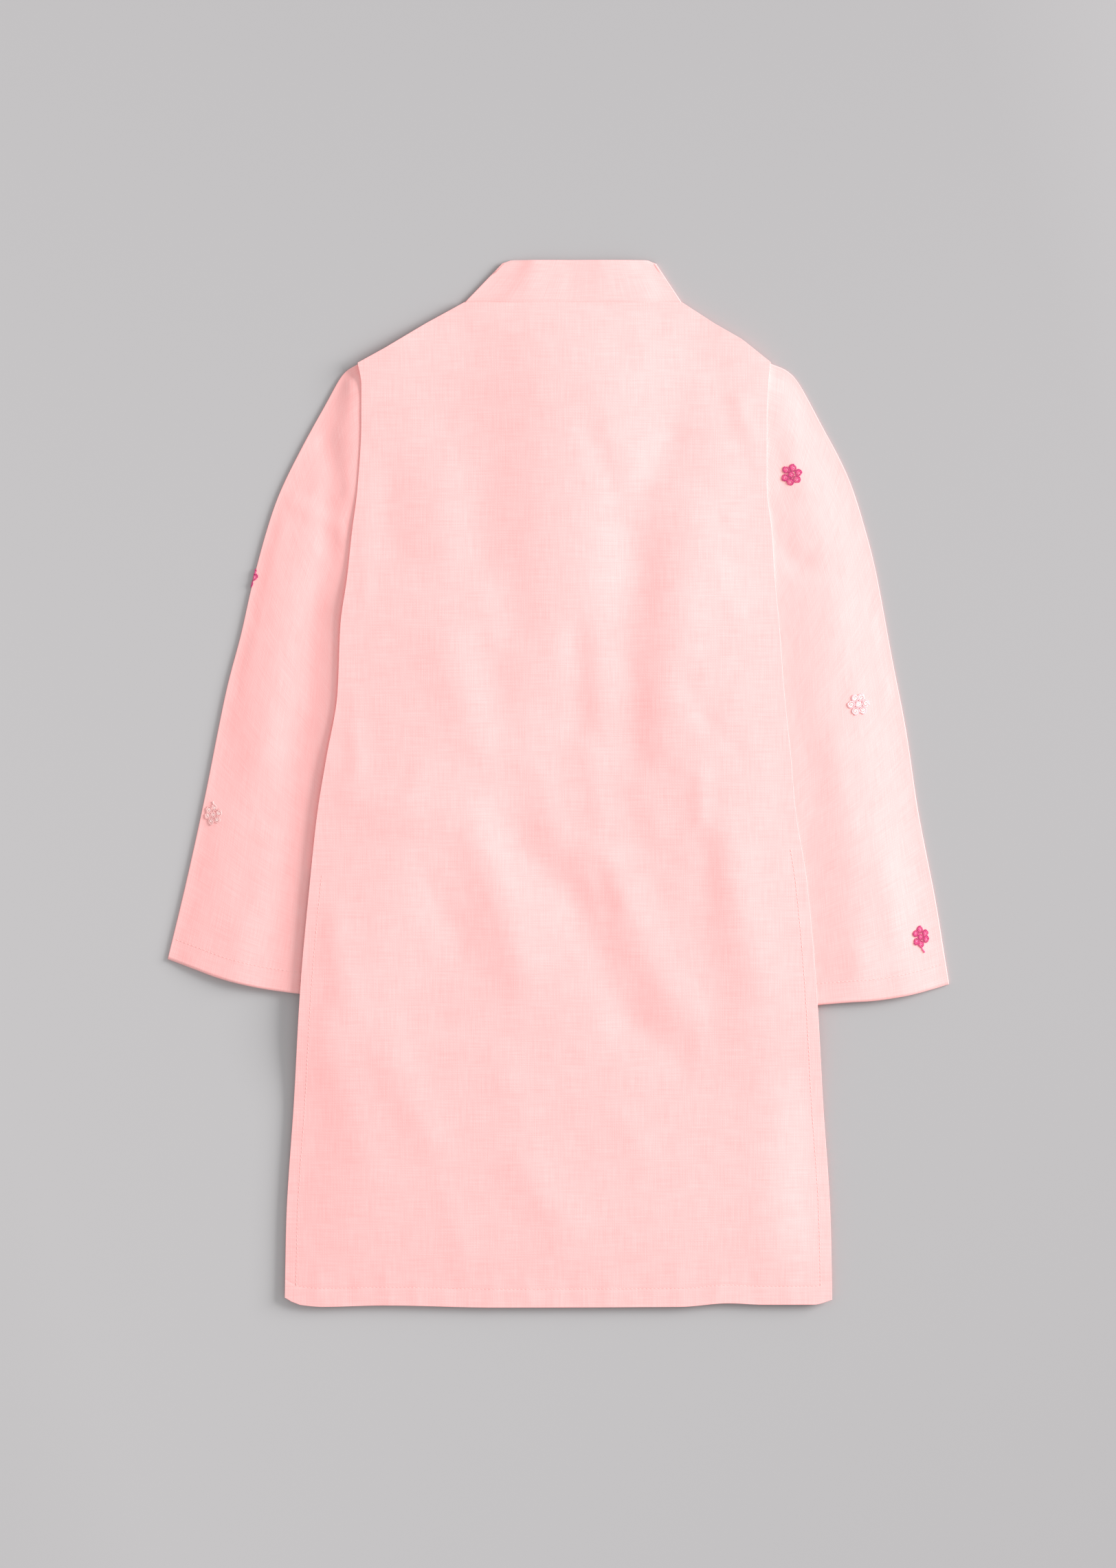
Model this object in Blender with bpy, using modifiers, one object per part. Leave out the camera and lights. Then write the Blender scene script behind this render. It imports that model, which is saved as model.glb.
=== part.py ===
"""A child's cotton kurta that lies flat on its front, so that its back shows.

Metres, +Z up. +Y points from the hem to the collar and +X to the wearer's right sleeve. The cloth rests on
z = 0, and the origin is under the middle of the whole outline. Each piece that is cut and sewn is one object.
"""

import math

import bmesh
import bpy
from mathutils import Vector

COLLECTION_NAME = "kurta"
CUTTER_COLLECTION_NAME = "kurta_cutters"

# Cloth walls and the room between layers that lie on each other
WALL = 0.0012
HEM_WALL = 0.0015
COLLAR_WALL = 0.0014
PLACKET_WALL = 0.0010
SEAM_GAP = 0.0003
SLANTED_SEAM_GAP = 0.0006
LAYER_GAP = 0.0010
TINY = 0.000001

# Fineness of the worked-out curves, and passes that settle a crossing of a slanting row and column
CURVE_STEPS = 8
SETTLING_PASSES = 6

# Body outline: the fold or seam on each side, from the hem up
BODY_SIDES = (
    # y, left_x, right_x
    (-0.3600, -0.1915, 0.1910),
    (-0.3075, -0.1905, 0.1900),
    (-0.2210, -0.1850, 0.1845),
    (-0.1375, -0.1800, 0.1795),
    (-0.0670, -0.1735, 0.1730),
    (-0.0205, -0.1685, 0.1655),
    (0.0190, -0.1620, 0.1620),
    (0.0625, -0.1545, 0.1575),
    (0.1100, -0.1525, 0.1540),
    (0.1425, -0.1480, 0.1510),
    (0.1755, -0.1445, 0.1490),
    (0.2075, -0.1405, 0.1455),
    (0.2520, -0.1380, 0.1455),
    (0.2785, -0.1380, 0.1465),
    (0.2935, -0.1405, 0.1480),
)
# Hem edge, from left to right
HEM_EDGE = (
    # x, y
    (-0.1915, -0.3595),
    (-0.1815, -0.3645),
    (-0.1645, -0.3660),
    (-0.1215, -0.3650),
    (-0.0445, -0.3665),
    (0.0850, -0.3660),
    (0.1185, -0.3635),
    (0.1425, -0.3645),
    (0.1785, -0.3645),
    (0.1910, -0.3610),
)
# Shoulder seams and the neck seam between them, from left to right
TOP_EDGE = (
    # x, y
    (-0.1405, 0.2935),
    (-0.1215, 0.3040),
    (-0.0925, 0.3215),
    (-0.0660, 0.3360),
    (0.0860, 0.3360),
    (0.1090, 0.3210),
    (0.1280, 0.3100),
    (0.1480, 0.2940),
)
HEM_DEPTH = 0.013
HEM_STEP = 0.0015
RIM_WIDTH = 0.004
RIM_OFFSETS = (0.0, 0.0008, 0.0022)

# Neck and collar band
NECK_LEFT = -0.0660
NECK_RIGHT = 0.0860
NECK_Y = 0.3360
NECK_MIDDLE = (NECK_LEFT + NECK_RIGHT) / 2
FRONT_NECK_DEPTH = 0.052
COLLAR_TOP_LEFT = -0.0375
COLLAR_TOP_RIGHT = 0.0665
COLLAR_TOP_Y = 0.3655
COLLAR_FRONT_TOP_DEPTH = 0.0515
COLLAR_HEIGHT = 0.0040
COLLAR_SEAM_GAP = 0.0007
COLLAR_OPENING = 0.0010
COLLAR_FRONT_STATIONS = 9
COLLAR_BACK_STATIONS = 8
COLLAR_TURN_STEPS = 4
COLLAR_CELLS = 2
COLLAR_RISE = 0.0009
COLLAR_RISE_WIDTH = 0.030

# Placket and buttons under the front panel
PLACKET_WIDTH = 0.026
PLACKET_LENGTH = 0.190
PLACKET_CELLS = 4
BUTTON_RADIUS = 0.005
BUTTON_THICKNESS = 0.0014
BUTTON_EDGE = 0.0004
BUTTON_SIDES = 20
BUTTON_DROPS = (0.025, 0.080, 0.135)
SLIT_WIDTH = 0.0010
PLACKET_LIFT = BUTTON_THICKNESS + PLACKET_WALL + 2 * SEAM_GAP
PLACKET_LIFT_FLAT = 0.016
PLACKET_LIFT_RAMP = 0.055
PLACKET_END_RAMP = 0.030
PLACKET_NECK_RAMP = 0.030

# Sleeves, each a flattened tube: the outer fold, the inner fold under the body, the armhole line and the cuff
SLEEVE_HEIGHT = 0.0036
SLEEVE_ROWS = 22
SLEEVE_CELLS = 6
SLEEVE_TURN_STEPS = 3
LEFT_OUTER_FOLD = (
    # x, y
    (-0.1415, 0.2925),
    (-0.1515, 0.2850),
    (-0.1635, 0.2640),
    (-0.1795, 0.2350),
    (-0.1945, 0.2045),
    (-0.2040, 0.1775),
    (-0.2140, 0.1405),
    (-0.2225, 0.1030),
    (-0.2330, 0.0625),
    (-0.2480, -0.0120),
    (-0.2610, -0.0710),
    (-0.2735, -0.1230),
)
LEFT_INNER_FOLD = (
    # x, y
    (-0.0830, 0.1150),
    (-0.1215, -0.0170),
    (-0.1645, -0.1490),
)
LEFT_ARMHOLE = (
    # x, y
    (-0.1415, 0.2925),
    (-0.1325, 0.2590),
    (-0.1255, 0.2205),
    (-0.1155, 0.1825),
    (-0.1040, 0.1485),
    (-0.0935, 0.1285),
    (-0.0830, 0.1150),
)
LEFT_CUFF = (
    # x, y
    (-0.2735, -0.1230),
    (-0.2560, -0.1295),
    (-0.2385, -0.1360),
    (-0.2200, -0.1410),
    (-0.1985, -0.1450),
    (-0.1645, -0.1490),
)
RIGHT_OUTER_FOLD = (
    # x, y
    (0.1490, 0.2930),
    (0.1600, 0.2880),
    (0.1690, 0.2775),
    (0.1855, 0.2470),
    (0.1965, 0.2265),
    (0.2050, 0.2070),
    (0.2135, 0.1800),
    (0.2220, 0.1465),
    (0.2330, 0.0875),
    (0.2430, 0.0360),
    (0.2515, -0.0205),
    (0.2630, -0.0795),
    (0.2700, -0.1220),
    (0.2730, -0.1405),
)
RIGHT_INNER_FOLD = (
    # x, y
    (0.0900, 0.1140),
    (0.1280, -0.0215),
    (0.1640, -0.1565),
)
RIGHT_ARMHOLE = (
    # x, y
    (0.1490, 0.2930),
    (0.1395, 0.2590),
    (0.1325, 0.2205),
    (0.1230, 0.1825),
    (0.1115, 0.1485),
    (0.1010, 0.1285),
    (0.0900, 0.1140),
)
RIGHT_CUFF = (
    # x, y
    (0.2730, -0.1405),
    (0.2615, -0.1440),
    (0.2440, -0.1485),
    (0.2220, -0.1520),
    (0.2000, -0.1535),
    (0.1640, -0.1565),
)

# How the body rises over the hidden part of each sleeve
SLEEVE_LIFT = SLEEVE_HEIGHT + 0.0008
LIFT_MARGIN = 0.018
LIFT_RAMP = 0.060
ARMHOLE_LIFT_TOP = 0.163
ARMHOLE_LIFT_FULL = 0.127
UNDERARM_Y = 0.1130
SIDE_BULGE = 0.0018
SIDE_BULGE_WIDTH = 0.022
SIDE_BULGE_END = -0.0800
SIDE_BULGE_FADE = 0.060

# Grid of the body panels
SHOULDER_CELLS = 6
NECK_CELLS = 12
BODY_ROWS = 40
FIRST_ROW = 1.7

# Loft of the back panel over the front, and its largest folds: ridges rise, troughs sink
BACK_LOFT = 0.0024
BACK_LOFT_EDGE = 0.050
LOFT_LOST_OVER_SLEEVE = 0.7
BACK_FOLDS = (
    # start_x, start_y, end_x, end_y, half_width, rise
    (0.085, 0.180, 0.083, 0.060, 0.024, 0.0014),
    (0.042, 0.185, 0.048, 0.130, 0.016, -0.0013),
    (-0.062, -0.026, -0.027, -0.126, 0.017, 0.0019),
    (-0.030, -0.040, 0.012, -0.085, 0.016, -0.0012),
    (0.012, -0.085, 0.050, -0.166, 0.016, -0.0014),
    (0.030, -0.058, 0.084, -0.156, 0.016, 0.0017),
    (0.096, -0.070, 0.112, -0.145, 0.013, -0.0009),
    (0.122, -0.040, 0.141, -0.138, 0.014, 0.0013),
    (-0.078, 0.091, -0.050, 0.019, 0.018, 0.0011),
    (-0.030, 0.085, -0.022, 0.020, 0.015, 0.0008),
    (-0.080, 0.212, -0.076, 0.160, 0.018, 0.0009),
    (-0.165, -0.163, -0.130, -0.262, 0.015, 0.0013),
    (-0.118, -0.195, -0.092, -0.246, 0.014, 0.0009),
    (-0.160, -0.096, -0.149, -0.150, 0.013, 0.0010),
    (0.145, -0.222, 0.147, -0.312, 0.022, 0.0013),
    (-0.025, -0.266, 0.004, -0.310, 0.016, 0.0009),
    (-0.062, 0.304, 0.038, 0.306, 0.015, -0.0011),
    (-0.148, -0.008, -0.086, -0.026, 0.016, 0.0009),
)
# How softly a deep trough meets the cloth below
TROUGH_EASING = 0.0008
SLEEVE_FOLDS = (
    # start_x, start_y, end_x, end_y, half_width, rise
    (-0.199, 0.175, -0.204, 0.020, 0.016, 0.0012),
    (-0.222, -0.105, -0.224, -0.138, 0.013, 0.0009),
    (0.188, 0.110, 0.186, 0.060, 0.014, 0.0005),
    (0.194, 0.030, 0.201, -0.025, 0.014, 0.0009),
    (0.203, -0.045, 0.210, -0.125, 0.017, 0.0016),
)
SLEEVE_FOLD_CLEARANCE = 0.012

# Small flowers worked in thread
FLOWER_RADIUS = 0.0074
FLOWER_THICKNESS = 0.0010
FLOWER_PETALS = 6
FLOWER_NOTCH = 0.16
FLOWER_SIDES = 24
FLOWER_RINGS = 2
ABOVE_CLOTH = 0.02
RIGHT_FLOWERS = (
    # x, y
    (0.1625, 0.2155),
    (0.2095, 0.0550),
    (0.2530, -0.1075),
)
LEFT_FLOWER = (-0.2415, -0.0220)
FOLD_FLOWER_Y = 0.1435
FOLD_FLOWER_LENGTH = 0.0125
FOLD_FLOWER_REACH = 0.0030
FOLD_FLOWER_CELLS = 6
FOLD_FLOWER_END = 0.25

# Reach of the blocks that cut the neck, armholes and slit out of the front panel
CUTTER_REACH = 0.25
CUTTER_REACH_Y = 0.36
CUTTER_HEIGHT = 0.04

# Finishes: colour (linear red, green, blue), roughness
PINK_COTTON = ((0.91, 0.64, 0.61), 0.90)
MAGENTA_THREAD = ((0.80, 0.09, 0.27), 0.55)
WHITE_THREAD = ((0.93, 0.83, 0.81), 0.55)
PALE_THREAD = ((0.90, 0.60, 0.58), 0.60)
SHELL_BUTTON = ((0.85, 0.76, 0.70), 0.35)


def smoothstep(value):
    """0 below 0, 1 above 1, and a soft slope between."""
    share = min(max(value, 0.0), 1.0)
    return share * share * (3 - 2 * share)


def read_table(rows, key, column=1):
    """The column's value at key, straight between the table's rows, which run one way."""
    ordered = sorted(rows)
    if key <= ordered[0][0]:
        return ordered[0][column]
    for low, high in zip(ordered, ordered[1:]):
        if key <= high[0]:
            share = (key - low[0]) / (high[0] - low[0])
            return low[column] + (high[column] - low[column]) * share
    return ordered[-1][column]


def smooth_line(points, count):
    """count + 1 evenly spaced points on a smooth curve through the given ones."""
    line = [Vector(point) for point in points]
    ends = [2 * line[0] - line[1]] + line + [2 * line[-1] - line[-2]]
    fine = []
    for first, start, end, last in zip(ends, ends[1:], ends[2:], ends[3:]):
        for step in range(CURVE_STEPS):
            t = step / CURVE_STEPS
            bend = (2 * first - 5 * start + 4 * end - last) * t * t
            twist = (3 * start - first - 3 * end + last) * t ** 3
            fine.append((2 * start + (end - first) * t + bend + twist) / 2)
    fine.append(line[-1])
    lengths = [0.0]
    for here, there in zip(fine, fine[1:]):
        lengths.append(lengths[-1] + (there - here).length)
    table_x = [(length, point.x) for length, point in zip(lengths, fine)]
    table_y = [(length, point.y) for length, point in zip(lengths, fine)]
    marks = [lengths[-1] * i / count for i in range(count + 1)]
    return [Vector((read_table(table_x, mark), read_table(table_y, mark))) for mark in marks]


def distance_to_segment(x, y, start, end):
    """How far the point is from the straight stretch, in the plane."""
    along = Vector((end[0] - start[0], end[1] - start[1]))
    reach = Vector((x - start[0], y - start[1]))
    share = min(max(reach.dot(along) / along.length_squared, 0.0), 1.0)
    return (reach - along * share).length


def distance_to_line(x, y, points):
    """How far the point is from the nearest stretch of the polyline."""
    return min(distance_to_segment(x, y, a, b) for a, b in zip(points, points[1:]))


def folds_at(x, y, folds):
    """Sum of the soft ridges and troughs at a point."""
    total = 0.0
    for start_x, start_y, end_x, end_y, half_width, rise in folds:
        distance = distance_to_segment(x, y, (start_x, start_y), (end_x, end_y))
        total += rise * math.exp(-((distance / half_width) ** 2))
    return total


class Sleeve:
    """Plan of one sleeve, and the heights of its two walls."""

    def __init__(self, outer, inner, armhole, cuff):
        self.outer = smooth_line(outer, SLEEVE_ROWS)
        self.inner = smooth_line(inner, SLEEVE_ROWS)
        self.armhole = smooth_line(armhole, SLEEVE_CELLS)
        self.cuff = smooth_line(cuff, SLEEVE_CELLS)
        self.hidden_edge = self.armhole[:-1] + self.inner + self.cuff[-2::-1]
        self.side = 1 if outer[0][0] > 0 else -1

    def at_row(self, line, row):
        """The point of an edge line at a whole or part row."""
        low = min(int(row), len(line) - 2)
        return line[low].lerp(line[low + 1], row - low)

    def plan(self, cell, row):
        """Point of the flat tube: cell runs from the outer fold to the inner, row from armhole to cuff."""
        across = cell / SLEEVE_CELLS
        down = row / SLEEVE_ROWS
        outer = self.at_row(self.outer, row)
        inner = self.at_row(self.inner, row)
        start = self.at_row(self.armhole, cell)
        end = self.at_row(self.cuff, cell)
        ruled = outer.lerp(inner, across) + start.lerp(end, down)
        corners = self.outer[0].lerp(self.inner[0], across).lerp(
            self.outer[-1].lerp(self.inner[-1], across), down
        )
        return ruled - corners

    def covers(self, x, y):
        """True where the sleeve lies below the point."""
        if not self.cuff[-1].y < y + TINY or self.side * x < 0:
            return False
        border = self.armhole + self.inner[1:]
        heights = [(point.y, point.x) for point in border]
        return self.side * x > self.side * read_table(heights, y)

    def nearness(self, x, y):
        """1 over the sleeve and close to it, falling softly to 0."""
        if self.covers(x, y):
            return 1.0
        distance = distance_to_line(x, y, self.hidden_edge)
        return 1 - smoothstep((distance - LIFT_MARGIN) / LIFT_RAMP)

    def top(self, x, y):
        """Height of the upper wall's outer face, with the folds of its open part."""
        edge = read_table(BODY_SIDES, y, 1 if self.side < 0 else 2)
        clear = smoothstep(self.side * (x - edge) / SLEEVE_FOLD_CLEARANCE)
        rim = distance_to_line(x, y, self.outer)
        soft = smoothstep(rim / SLEEVE_FOLD_CLEARANCE)
        return SLEEVE_HEIGHT + folds_at(x, y, SLEEVE_FOLDS) * clear * soft


LEFT = Sleeve(LEFT_OUTER_FOLD, LEFT_INNER_FOLD, LEFT_ARMHOLE, LEFT_CUFF)
RIGHT = Sleeve(RIGHT_OUTER_FOLD, RIGHT_INNER_FOLD, RIGHT_ARMHOLE, RIGHT_CUFF)


def over_sleeves(x, y):
    """1 where a sleeve lies under the body, 0 where the body lies on the surface."""
    return max(LEFT.nearness(x, y), RIGHT.nearness(x, y))


def placket_lift(x, y):
    """How far the buttons and the placket hold the front off the surface."""
    across = 1 - smoothstep((abs(x - NECK_MIDDLE) - PLACKET_LIFT_FLAT) / PLACKET_LIFT_RAMP)
    placket_end = NECK_Y - FRONT_NECK_DEPTH - PLACKET_LENGTH - LIFT_MARGIN
    above_end = smoothstep((y - placket_end) / PLACKET_END_RAMP + 1)
    below_neck = smoothstep((NECK_Y - y) / PLACKET_NECK_RAMP)
    return PLACKET_LIFT * across * above_end * below_neck


def front_base(x, y):
    """Height of the front panel's outer face over the surface."""
    below_armhole = smoothstep((ARMHOLE_LIFT_TOP - y) / (ARMHOLE_LIFT_TOP - ARMHOLE_LIFT_FULL))
    return max(SLEEVE_LIFT * over_sleeves(x, y) * below_armhole, placket_lift(x, y))


def collar_rise(x, y):
    """How far the thicker collar band holds the back up, over the front neck and round it."""
    beside = max(abs(x - NECK_MIDDLE) - (NECK_RIGHT - NECK_LEFT) / 2, 0.0)
    below = max(NECK_Y - FRONT_NECK_DEPTH - y, 0.0)
    return COLLAR_RISE * (1 - smoothstep(math.hypot(beside, below) / COLLAR_RISE_WIDTH))


def under_back(x, y):
    """Height of whatever lies just under the back panel."""
    in_hem = y < read_table(HEM_EDGE, x) + HEM_DEPTH + HEM_STEP / 2
    wall = HEM_WALL if in_hem else WALL + collar_rise(x, y)
    return max(front_base(x, y) + wall, SLEEVE_HEIGHT * over_sleeves(x, y))


def back_base(x, y, edge):
    """Height of the back panel's inner face; edge is the distance in from its own outline."""
    roll = math.sin(min(edge / RIM_WIDTH, 1.0) * math.pi / 2)
    from_side = min(x - read_table(BODY_SIDES, y, 1), read_table(BODY_SIDES, y, 2) - x)
    bulge = SIDE_BULGE * (1 - smoothstep((from_side - RIM_WIDTH) / SIDE_BULGE_WIDTH))
    bulge *= smoothstep((y - SIDE_BULGE_END + SIDE_BULGE_FADE) / SIDE_BULGE_FADE)
    loft = BACK_LOFT * smoothstep(edge / BACK_LOFT_EDGE)
    loft *= 1 - LOFT_LOST_OVER_SLEEVE * over_sleeves(x, y)
    free = loft + folds_at(x, y, BACK_FOLDS) * smoothstep(edge / (BACK_LOFT_EDGE / 2))
    raised = LAYER_GAP - SEAM_GAP + bulge + (free + math.hypot(free, TROUGH_EASING)) / 2
    return under_back(x, y) + SEAM_GAP + roll * raised


def body_columns(with_rim):
    """Columns of a body panel as (share of the width, offset), aligned with the corners of the neck."""
    top_left = TOP_EDGE[0][0]
    top_width = TOP_EDGE[-1][0] - top_left
    corner_left = (NECK_LEFT - top_left) / top_width
    corner_right = (NECK_RIGHT - top_left) / top_width
    rim = RIM_OFFSETS if with_rim else RIM_OFFSETS[:1]
    columns = [(0.0, offset) for offset in rim] + [(0.0, RIM_WIDTH)]
    columns += [(corner_left * i / SHOULDER_CELLS, 0.0) for i in range(1, SHOULDER_CELLS)]
    neck = corner_right - corner_left
    columns += [(corner_left + neck * i / NECK_CELLS, 0.0) for i in range(NECK_CELLS)]
    right = 1 - corner_right
    columns += [(corner_right + right * i / SHOULDER_CELLS, 0.0) for i in range(SHOULDER_CELLS)]
    columns += [(1.0, -RIM_WIDTH)] + [(1.0, -offset) for offset in reversed(rim)]
    return columns


def body_rows(with_rim):
    """Rows of a body panel as (share of the height, offset), from the hem up."""
    rim = RIM_OFFSETS if with_rim else RIM_OFFSETS[:1]
    rows = [(0.0, 0.0), (0.0, HEM_DEPTH), (0.0, HEM_DEPTH + HEM_STEP)]
    rows += [((FIRST_ROW + i) / BODY_ROWS, 0.0) for i in range(BODY_ROWS - 2)]
    rows += [(1.0, -RIM_WIDTH)] + [(1.0, -offset) for offset in reversed(rim)]
    return rows


def body_point(column, row):
    """Plan of the crossing of a column and a row of the body's grid."""
    share_x, offset_x = column
    share_y, offset_y = row
    x = 0.0
    y = HEM_EDGE[0][1] + (TOP_EDGE[0][1] - HEM_EDGE[0][1]) * share_y
    for _ in range(SETTLING_PASSES):
        left = read_table(BODY_SIDES, y, 1)
        right = read_table(BODY_SIDES, y, 2)
        x = left + (right - left) * share_x + offset_x
        low = read_table(HEM_EDGE, x)
        high = read_table(TOP_EDGE, x)
        y = low + (high - low) * share_y + offset_y
    return x, y


def edge_distance(x, y):
    """How far in from the body's outline a point lies."""
    sides = (x - read_table(BODY_SIDES, y, 1), read_table(BODY_SIDES, y, 2) - x)
    ends = (y - read_table(HEM_EDGE, x), read_table(TOP_EDGE, x) - y)
    return max(min(sides + ends), 0.0)


def finish_material(name, finish):
    """A Principled material with the colour and roughness of the finish."""
    colour, roughness = finish
    material = bpy.data.materials.new(name)
    material.use_nodes = True
    shader = material.node_tree.nodes["Principled BSDF"]
    shader.inputs["Base Color"].default_value = (*colour, 1.0)
    shader.inputs["Roughness"].default_value = roughness
    shader.inputs["Metallic"].default_value = 0.0
    material.diffuse_color = (*colour, 1.0)
    return material


def add_object(name, mesh_maker, collection, finish=None):
    """Turns a filled bmesh into a named object in the collection."""
    mesh = bpy.data.meshes.new(name)
    mesh_maker.to_mesh(mesh)
    mesh_maker.free()
    part = bpy.data.objects.new(name, mesh)
    collection.objects.link(part)
    if finish:
        mesh.materials.append(finish_material(f"{name}_finish", finish))
    mesh.shade_smooth()
    return part


def add_wall(part, thickness, offset, hem_points=None, hem_thickness=None):
    """Gives an open sheet its wall, thicker at the hem where its points are named."""
    wall = part.modifiers.new("wall", "SOLIDIFY")
    wall.thickness = hem_thickness or thickness
    wall.offset = offset
    wall.use_even_offset = True
    wall.use_quality_normals = True
    if hem_points:
        group = part.vertex_groups.new(name="wall")
        others = sorted(set(range(len(part.data.vertices))) - set(hem_points))
        group.add(others, thickness / hem_thickness, "REPLACE")
        group.add(sorted(hem_points), 1.0, "REPLACE")
        wall.vertex_group = group.name
        wall.thickness_vertex_group = 0.0
    split = part.modifiers.new("triangles", "TRIANGULATE")
    split.quad_method = "FIXED"


def sheet_grid(columns, rows, height):
    """Grid of the body's outline: columns across, rows up, with the height of each point."""
    sheet = bmesh.new()
    bmesh.ops.create_grid(sheet, x_segments=len(columns) - 1, y_segments=len(rows) - 1, size=1.0)
    sheet.verts.ensure_lookup_table()
    for index, vert in enumerate(sheet.verts):
        column = columns[index % len(columns)]
        row = rows[index // len(columns)]
        x, y = body_point(column, row)
        vert.co = (x, y, height(x, y))
    return sheet


def prism(name, outline, collection):
    """A tall block over a flat outline, to cut with."""
    block = bmesh.new()
    corners = [block.verts.new((x, y, -CUTTER_HEIGHT / 2)) for x, y in outline]
    face = block.faces.new(corners)
    lift = bmesh.ops.extrude_face_region(block, geom=[face])
    raised = [item for item in lift["geom"] if isinstance(item, bmesh.types.BMVert)]
    bmesh.ops.translate(block, verts=raised, vec=(0, 0, CUTTER_HEIGHT))
    bmesh.ops.recalc_face_normals(block, faces=block.faces)
    cutter = add_object(name, block, collection)
    cutter.hide_render = True
    cutter.display_type = "WIRE"
    return cutter


def cut_with(part, cutter):
    """Takes the cutter's volume out of the part."""
    cut = part.modifiers.new(cutter.name, "BOOLEAN")
    cut.operation = "DIFFERENCE"
    cut.object = cutter


def front_neck_point(angle, gap=0.0):
    """Point of the front neckline: angle runs from 0 at the left corner to pi at the right."""
    half = (NECK_RIGHT - NECK_LEFT) / 2
    x = NECK_MIDDLE - (half + gap) * math.cos(angle)
    y = NECK_Y - (FRONT_NECK_DEPTH + gap) * math.sin(angle)
    return x, y


def neck_outline():
    """Outline of the front neck, a seam's gap outside the collar's own points."""
    count = 2 * COLLAR_FRONT_STATIONS
    curve = [front_neck_point(math.pi * i / count, SEAM_GAP) for i in range(count + 1)]
    return curve + [(curve[-1][0], CUTTER_REACH_Y), (curve[0][0], CUTTER_REACH_Y)]


def armhole_outline(sleeve):
    """Outline of what is cut off the front at one armhole, a seam's gap inside the sleeve's own points."""
    inward = Vector((-sleeve.side * SLANTED_SEAM_GAP, 0))
    curve = [point + inward for point in sleeve.armhole]
    underarm = curve[-1] + inward
    low = UNDERARM_Y - SEAM_GAP
    far = sleeve.side * CUTTER_REACH
    corners = [tuple(underarm), (underarm.x, low), (far, low)]
    corners += [(far, CUTTER_REACH_Y), (curve[0].x, CUTTER_REACH_Y)]
    return [tuple(point) for point in curve[:-1]] + corners


def make_back(collection):
    """Back panel: the visible fold on each side rolls down to the front."""
    columns = body_columns(True)
    rows = body_rows(True)
    sheet = sheet_grid(columns, rows, lambda x, y: back_base(x, y, edge_distance(x, y)))
    back = add_object("back_panel", sheet, collection, PINK_COTTON)
    add_wall(back, WALL, 1.0, list(range(2 * len(columns))), HEM_WALL)
    return back


def make_front(collection, cutters):
    """Front panel: flat on the surface, raised over the sleeves and the placket."""
    columns = body_columns(False)
    rows = body_rows(False)
    sheet = sheet_grid(columns, rows, front_base)
    front = add_object("front_panel", sheet, collection, PINK_COTTON)
    add_wall(front, WALL, 1.0, list(range(2 * len(columns))), HEM_WALL)
    cut_with(front, prism("front_neck_cut", neck_outline(), cutters))
    for side, sleeve in (("left", LEFT), ("right", RIGHT)):
        cut_with(front, prism(f"front_armhole_cut_{side}", armhole_outline(sleeve), cutters))
    slit_end = NECK_Y - FRONT_NECK_DEPTH - PLACKET_LENGTH + PLACKET_WIDTH / 2
    low_x = NECK_MIDDLE - SLIT_WIDTH / 2
    high_x = NECK_MIDDLE + SLIT_WIDTH / 2
    slit = [(low_x, slit_end), (high_x, slit_end), (high_x, NECK_Y), (low_x, NECK_Y)]
    cut_with(front, prism("front_slit_cut", slit, cutters))
    return front


def sleeve_section():
    """Positions round the tube as (cell, turn angle), from the inner fold along the lower wall and back."""
    half_turn = [math.pi * i / SLEEVE_TURN_STEPS for i in range(SLEEVE_TURN_STEPS + 1)]
    lower = [(SLEEVE_CELLS - i, None) for i in range(1, SLEEVE_CELLS)]
    upper = [(i, None) for i in range(1, SLEEVE_CELLS)]
    outer_turn = [(0, angle) for angle in half_turn]
    inner_turn = [(SLEEVE_CELLS, angle) for angle in half_turn]
    return lower + outer_turn + upper + inner_turn


def make_sleeve(name, sleeve, collection):
    """A sleeve as a flattened tube, open at the armhole and at the cuff."""
    ring = sleeve_section()
    radius = SLEEVE_HEIGHT / 2
    tube = bmesh.new()
    bmesh.ops.create_grid(tube, x_segments=len(ring), y_segments=SLEEVE_ROWS, size=1.0)
    tube.verts.ensure_lookup_table()
    for index, vert in enumerate(tube.verts):
        place = index % (len(ring) + 1) % len(ring)
        row = index // (len(ring) + 1)
        cell, angle = ring[place]
        point = sleeve.plan(cell, row)
        if angle is None:
            in_lower_wall = place < SLEEVE_CELLS - 1
            vert.co = (*point, 0.0 if in_lower_wall else sleeve.top(point.x, point.y))
        else:
            inward = (sleeve.plan(SLEEVE_CELLS / 2, row) - point).normalized()
            rising = 1 if cell == 0 else -1
            height = radius - radius * math.cos(angle) * rising
            vert.co = (*(point + inward * radius * (1 - math.sin(angle))), height)
    bmesh.ops.remove_doubles(tube, verts=tube.verts, dist=TINY)
    bmesh.ops.recalc_face_normals(tube, faces=tube.faces)
    part = add_object(name, tube, collection, PINK_COTTON)
    add_wall(part, WALL, -1.0)
    return part


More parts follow.
